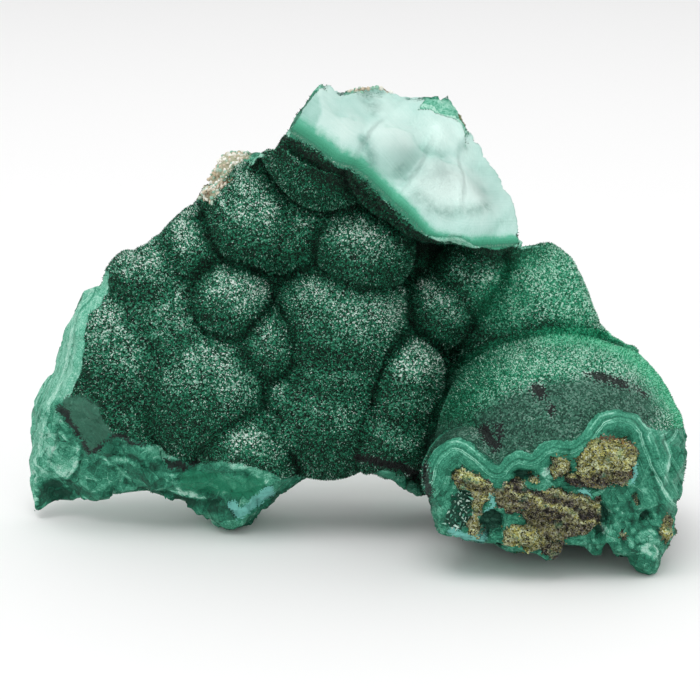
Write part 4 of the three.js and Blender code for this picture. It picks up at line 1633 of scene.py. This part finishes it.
def needle_tree():
    inputs = {name: "Float" for name in ("Spacing", "Height", "Width", "Lean", "From X", "To X")}
    inputs |= {"Mask": "String", "Seed": "Int", "Material": "Material"}
    nodes, given, ends = geometry_tree("needles", inputs)
    at = place(nodes, "GeometryNodeInputPosition").outputs[0]
    x = place(nodes, "ShaderNodeSeparateXYZ", {0: at}).outputs[0]
    past, short = calc(nodes, "GREATER_THAN", x, given["From X"]), calc(nodes, "LESS_THAN", x, given["To X"])
    inside = calc(nodes, "MULTIPLY", past, short)
    spots = scattered(nodes, given, calc(nodes, "MULTIPLY", inside, named(nodes, given["Mask"])))
    lean = chance(nodes, (-1.0, -1.0, -1.0), (1.0, 1.0, 1.0), 1, "FLOAT_VECTOR")
    leaning = {0: lean, "Scale": given["Lean"]}
    lean = place(nodes, "ShaderNodeVectorMath", leaning, operation="SCALE").outputs[0]
    way = place(nodes, "ShaderNodeVectorMath", {0: spots["Normal"], 1: lean}, operation="ADD").outputs[0]
    turn = place(nodes, "ShaderNodeCombineXYZ", {2: chance(nodes, 0.0, math.tau, 2)}).outputs[0]
    turn = place(nodes, "FunctionNodeEulerToRotation", {0: turn}).outputs[0]
    aimed = {"Rotation": turn, "Vector": way}
    turn = place(nodes, "FunctionNodeAlignRotationToVector", aimed, axis="Z").outputs[0]
    size = chance(nodes, *NEEDLE_SIZES, 3)
    shorter = calc(nodes, "MULTIPLY_ADD", named(nodes, "worn_and_shaded"), -WORN_SHORTER, 1.0)
    size = calc(nodes, "MULTIPLY", size, shorter)
    radius = calc(nodes, "MULTIPLY", given["Width"], 0.5)
    spike = {"Vertices": 3, "Radius Bottom": radius, "Radius Top": 0.0, "Depth": given["Height"]}
    spike = place(nodes, "GeometryNodeMeshCone", spike).outputs["Mesh"]
    down = place(nodes, "ShaderNodeCombineXYZ", {2: -NEEDLE_SINK * MM}).outputs[0]
    spike = place(nodes, "GeometryNodeTransform", {"Geometry": spike, "Translation": down}).outputs[0]
    needles = {"Points": spots["Points"], "Instance": spike, "Rotation": turn, "Scale": size}
    needles = place(nodes, "GeometryNodeInstanceOnPoints", needles).outputs[0]
    return realized(nodes, ends, with_chance(nodes, needles, 4), given["Material"])


def grown(name, tree, values):
    """The mesh that a geometry node tree grows on the skin, as a plain piece."""
    carrier = show("carrier", stone.data.copy())
    modifier = carrier.modifiers.new("grow", "NODES")
    modifier.node_group = tree
    for item in tree.interface.items_tree:
        if item.in_out == "INPUT" and item.name in values:
            modifier[item.identifier] = values[item.name]
    return show(name, with_modifiers_done(carrier))


def needle_material():
    material, nodes, shader = new_material("velvet needles", 0.4, 0.2, 0.2)
    here = in_millimetres(nodes)
    given = {"Place": here, "Chance": stored(nodes, "chance"), "Painted light": stored(nodes, "painted_light")}
    given |= {"Worn and shaded": stored(nodes, "worn_and_shaded"), "Green sheen": stored(nodes, "green_sheen")}
    colour = use(nodes, velvet_colour, given)["Color"]
    ragged = calc(nodes, "SUBTRACT", 0.5, stored(nodes, "chance"))
    for mask, strength, over in OVERLAYS:
        colour = mixed(nodes, calc(nodes, "MULTIPLY", frayed(nodes, mask, ragged), strength), colour, over)
    nodes.links.new(colour, shader.inputs["Base Color"])
    return material


needles = needle_tree()
fur = needle_material()
lengths = {name: value * MM for name, value in NEEDLES.items() if name != "Lean"}
for name, start, end in STRIPS:
    strip = {"From X": start * MM, "To X": end * MM}
    values = lengths | strip | {"Lean": NEEDLES["Lean"], "Mask": "fur", "Seed": 5, "Material": fur}
    finish_piece(grown("velvet-" + name, needles, values))

# %% [markdown]
# ## The spray
#
# In one hollow of the ball's front the needles have grown long and loose. They come from the same tree as
# the fur, wider apart, three times as long and paler, each with a colour of chance.

# %% Grow the spray
def spray_material():
    material, nodes, shader = new_material("spray", 0.4, 0.3)
    colour = toned(nodes, stored(nodes, "chance"), SPRAY_TONES)
    nodes.links.new(colour, shader.inputs["Base Color"])
    return material


SPRAY_TONES = [(0.2, paint(20, 84, 64)), (0.45, paint(96, 170, 146)), (0.8, paint(206, 232, 220))]
lengths = {name: value * MM for name, value in SPRAY.items() if name != "Lean"}
values = lengths | {"Lean": SPRAY["Lean"], "From X": -MM * 90, "To X": MM * 90, "Mask": "needles", "Seed": 6}
finish_piece(grown("needle-spray", needles, values | {"Material": spray_material()}))

# %% [markdown]
# ## Grains
#
# The rock crumbles into grains of its minerals, some still stuck on. They are small angular bodies of
# twenty faces, scattered over the rock with a random turn and size, half sunk in, and their colour is the
# rock's own with a number of chance added. The pale crumbs on the crest come from the same tree.

# %% Scatter the grains
GRAINS = {"Spacing": 0.38, "Size": 0.24}
CRUMBS = {"Spacing": 0.8, "Size": 0.5}
GRAIN_SIZES = (0.5, 1.25)
CRUMB_TONES = [
    (0.1, paint(140, 186, 164)),
    (0.3, paint(222, 220, 208)),
    (0.6, paint(196, 178, 150)),
    (0.85, paint(238, 238, 230)),
]


def grain_tree():
    inputs = {"Spacing": "Float", "Size": "Float", "Mask": "String", "Seed": "Int", "Material": "Material"}
    nodes, given, ends = geometry_tree("grains", inputs)
    spots = scattered(nodes, given, named(nodes, given["Mask"]))
    turn = chance(nodes, (0.0, 0.0, 0.0), (math.tau, math.tau, math.tau), 1, "FLOAT_VECTOR")
    turn = place(nodes, "FunctionNodeEulerToRotation", {0: turn}).outputs[0]
    size = chance(nodes, (GRAIN_SIZES[0],) * 3, (GRAIN_SIZES[1],) * 3, 2, "FLOAT_VECTOR")
    ball = {"Radius": given["Size"], "Subdivisions": 1}
    grain = place(nodes, "GeometryNodeMeshIcoSphere", ball).outputs["Mesh"]
    grains = {"Points": spots["Points"], "Instance": grain, "Rotation": turn, "Scale": size}
    grains = place(nodes, "GeometryNodeInstanceOnPoints", grains).outputs[0]
    return realized(nodes, ends, with_chance(nodes, grains, 4), given["Material"])


def grain_material():
    material, nodes, shader = new_material("rock grains", 0.7, DULL)
    given = {"Place": in_millimetres(nodes)}
    given |= {"Ochre": stored(nodes, "ochre"), "Chance": stored(nodes, "chance")}
    nodes.links.new(use(nodes, host_rock, given)["Color"], shader.inputs["Base Color"])
    return material


def crumb_material():
    material, nodes, shader = new_material("crest crumbs", 0.7, DULL)
    nodes.links.new(toned(nodes, stored(nodes, "chance"), CRUMB_TONES), shader.inputs["Base Color"])
    return material


grains = grain_tree()
for name, sizes, mask, material in (
    ("rock-grains", GRAINS, "grains", grain_material()),
    ("crest-crumbs", CRUMBS, "tan", crumb_material()),
):
    values = {key: value * MM for key, value in sizes.items()}
    finish_piece(grown(name, grains, values | {"Mask": mask, "Seed": 7, "Material": material}))

# %% [markdown]
# ## Check the size
#
# The dressed stone has to stay the size of the solid. The two boxes are compared here, and how far each end
# moved is printed.

# %% Compare the boxes
visual_box = [list(corner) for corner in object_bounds()]
for side, axis in enumerate("XYZ"):
    passed = [(visual_box[end][side] - cad_box[end][side]) / MM for end in (0, 1)]
    print(axis, "ends moved by", [round(float(one), 2) for one in passed], "mm")
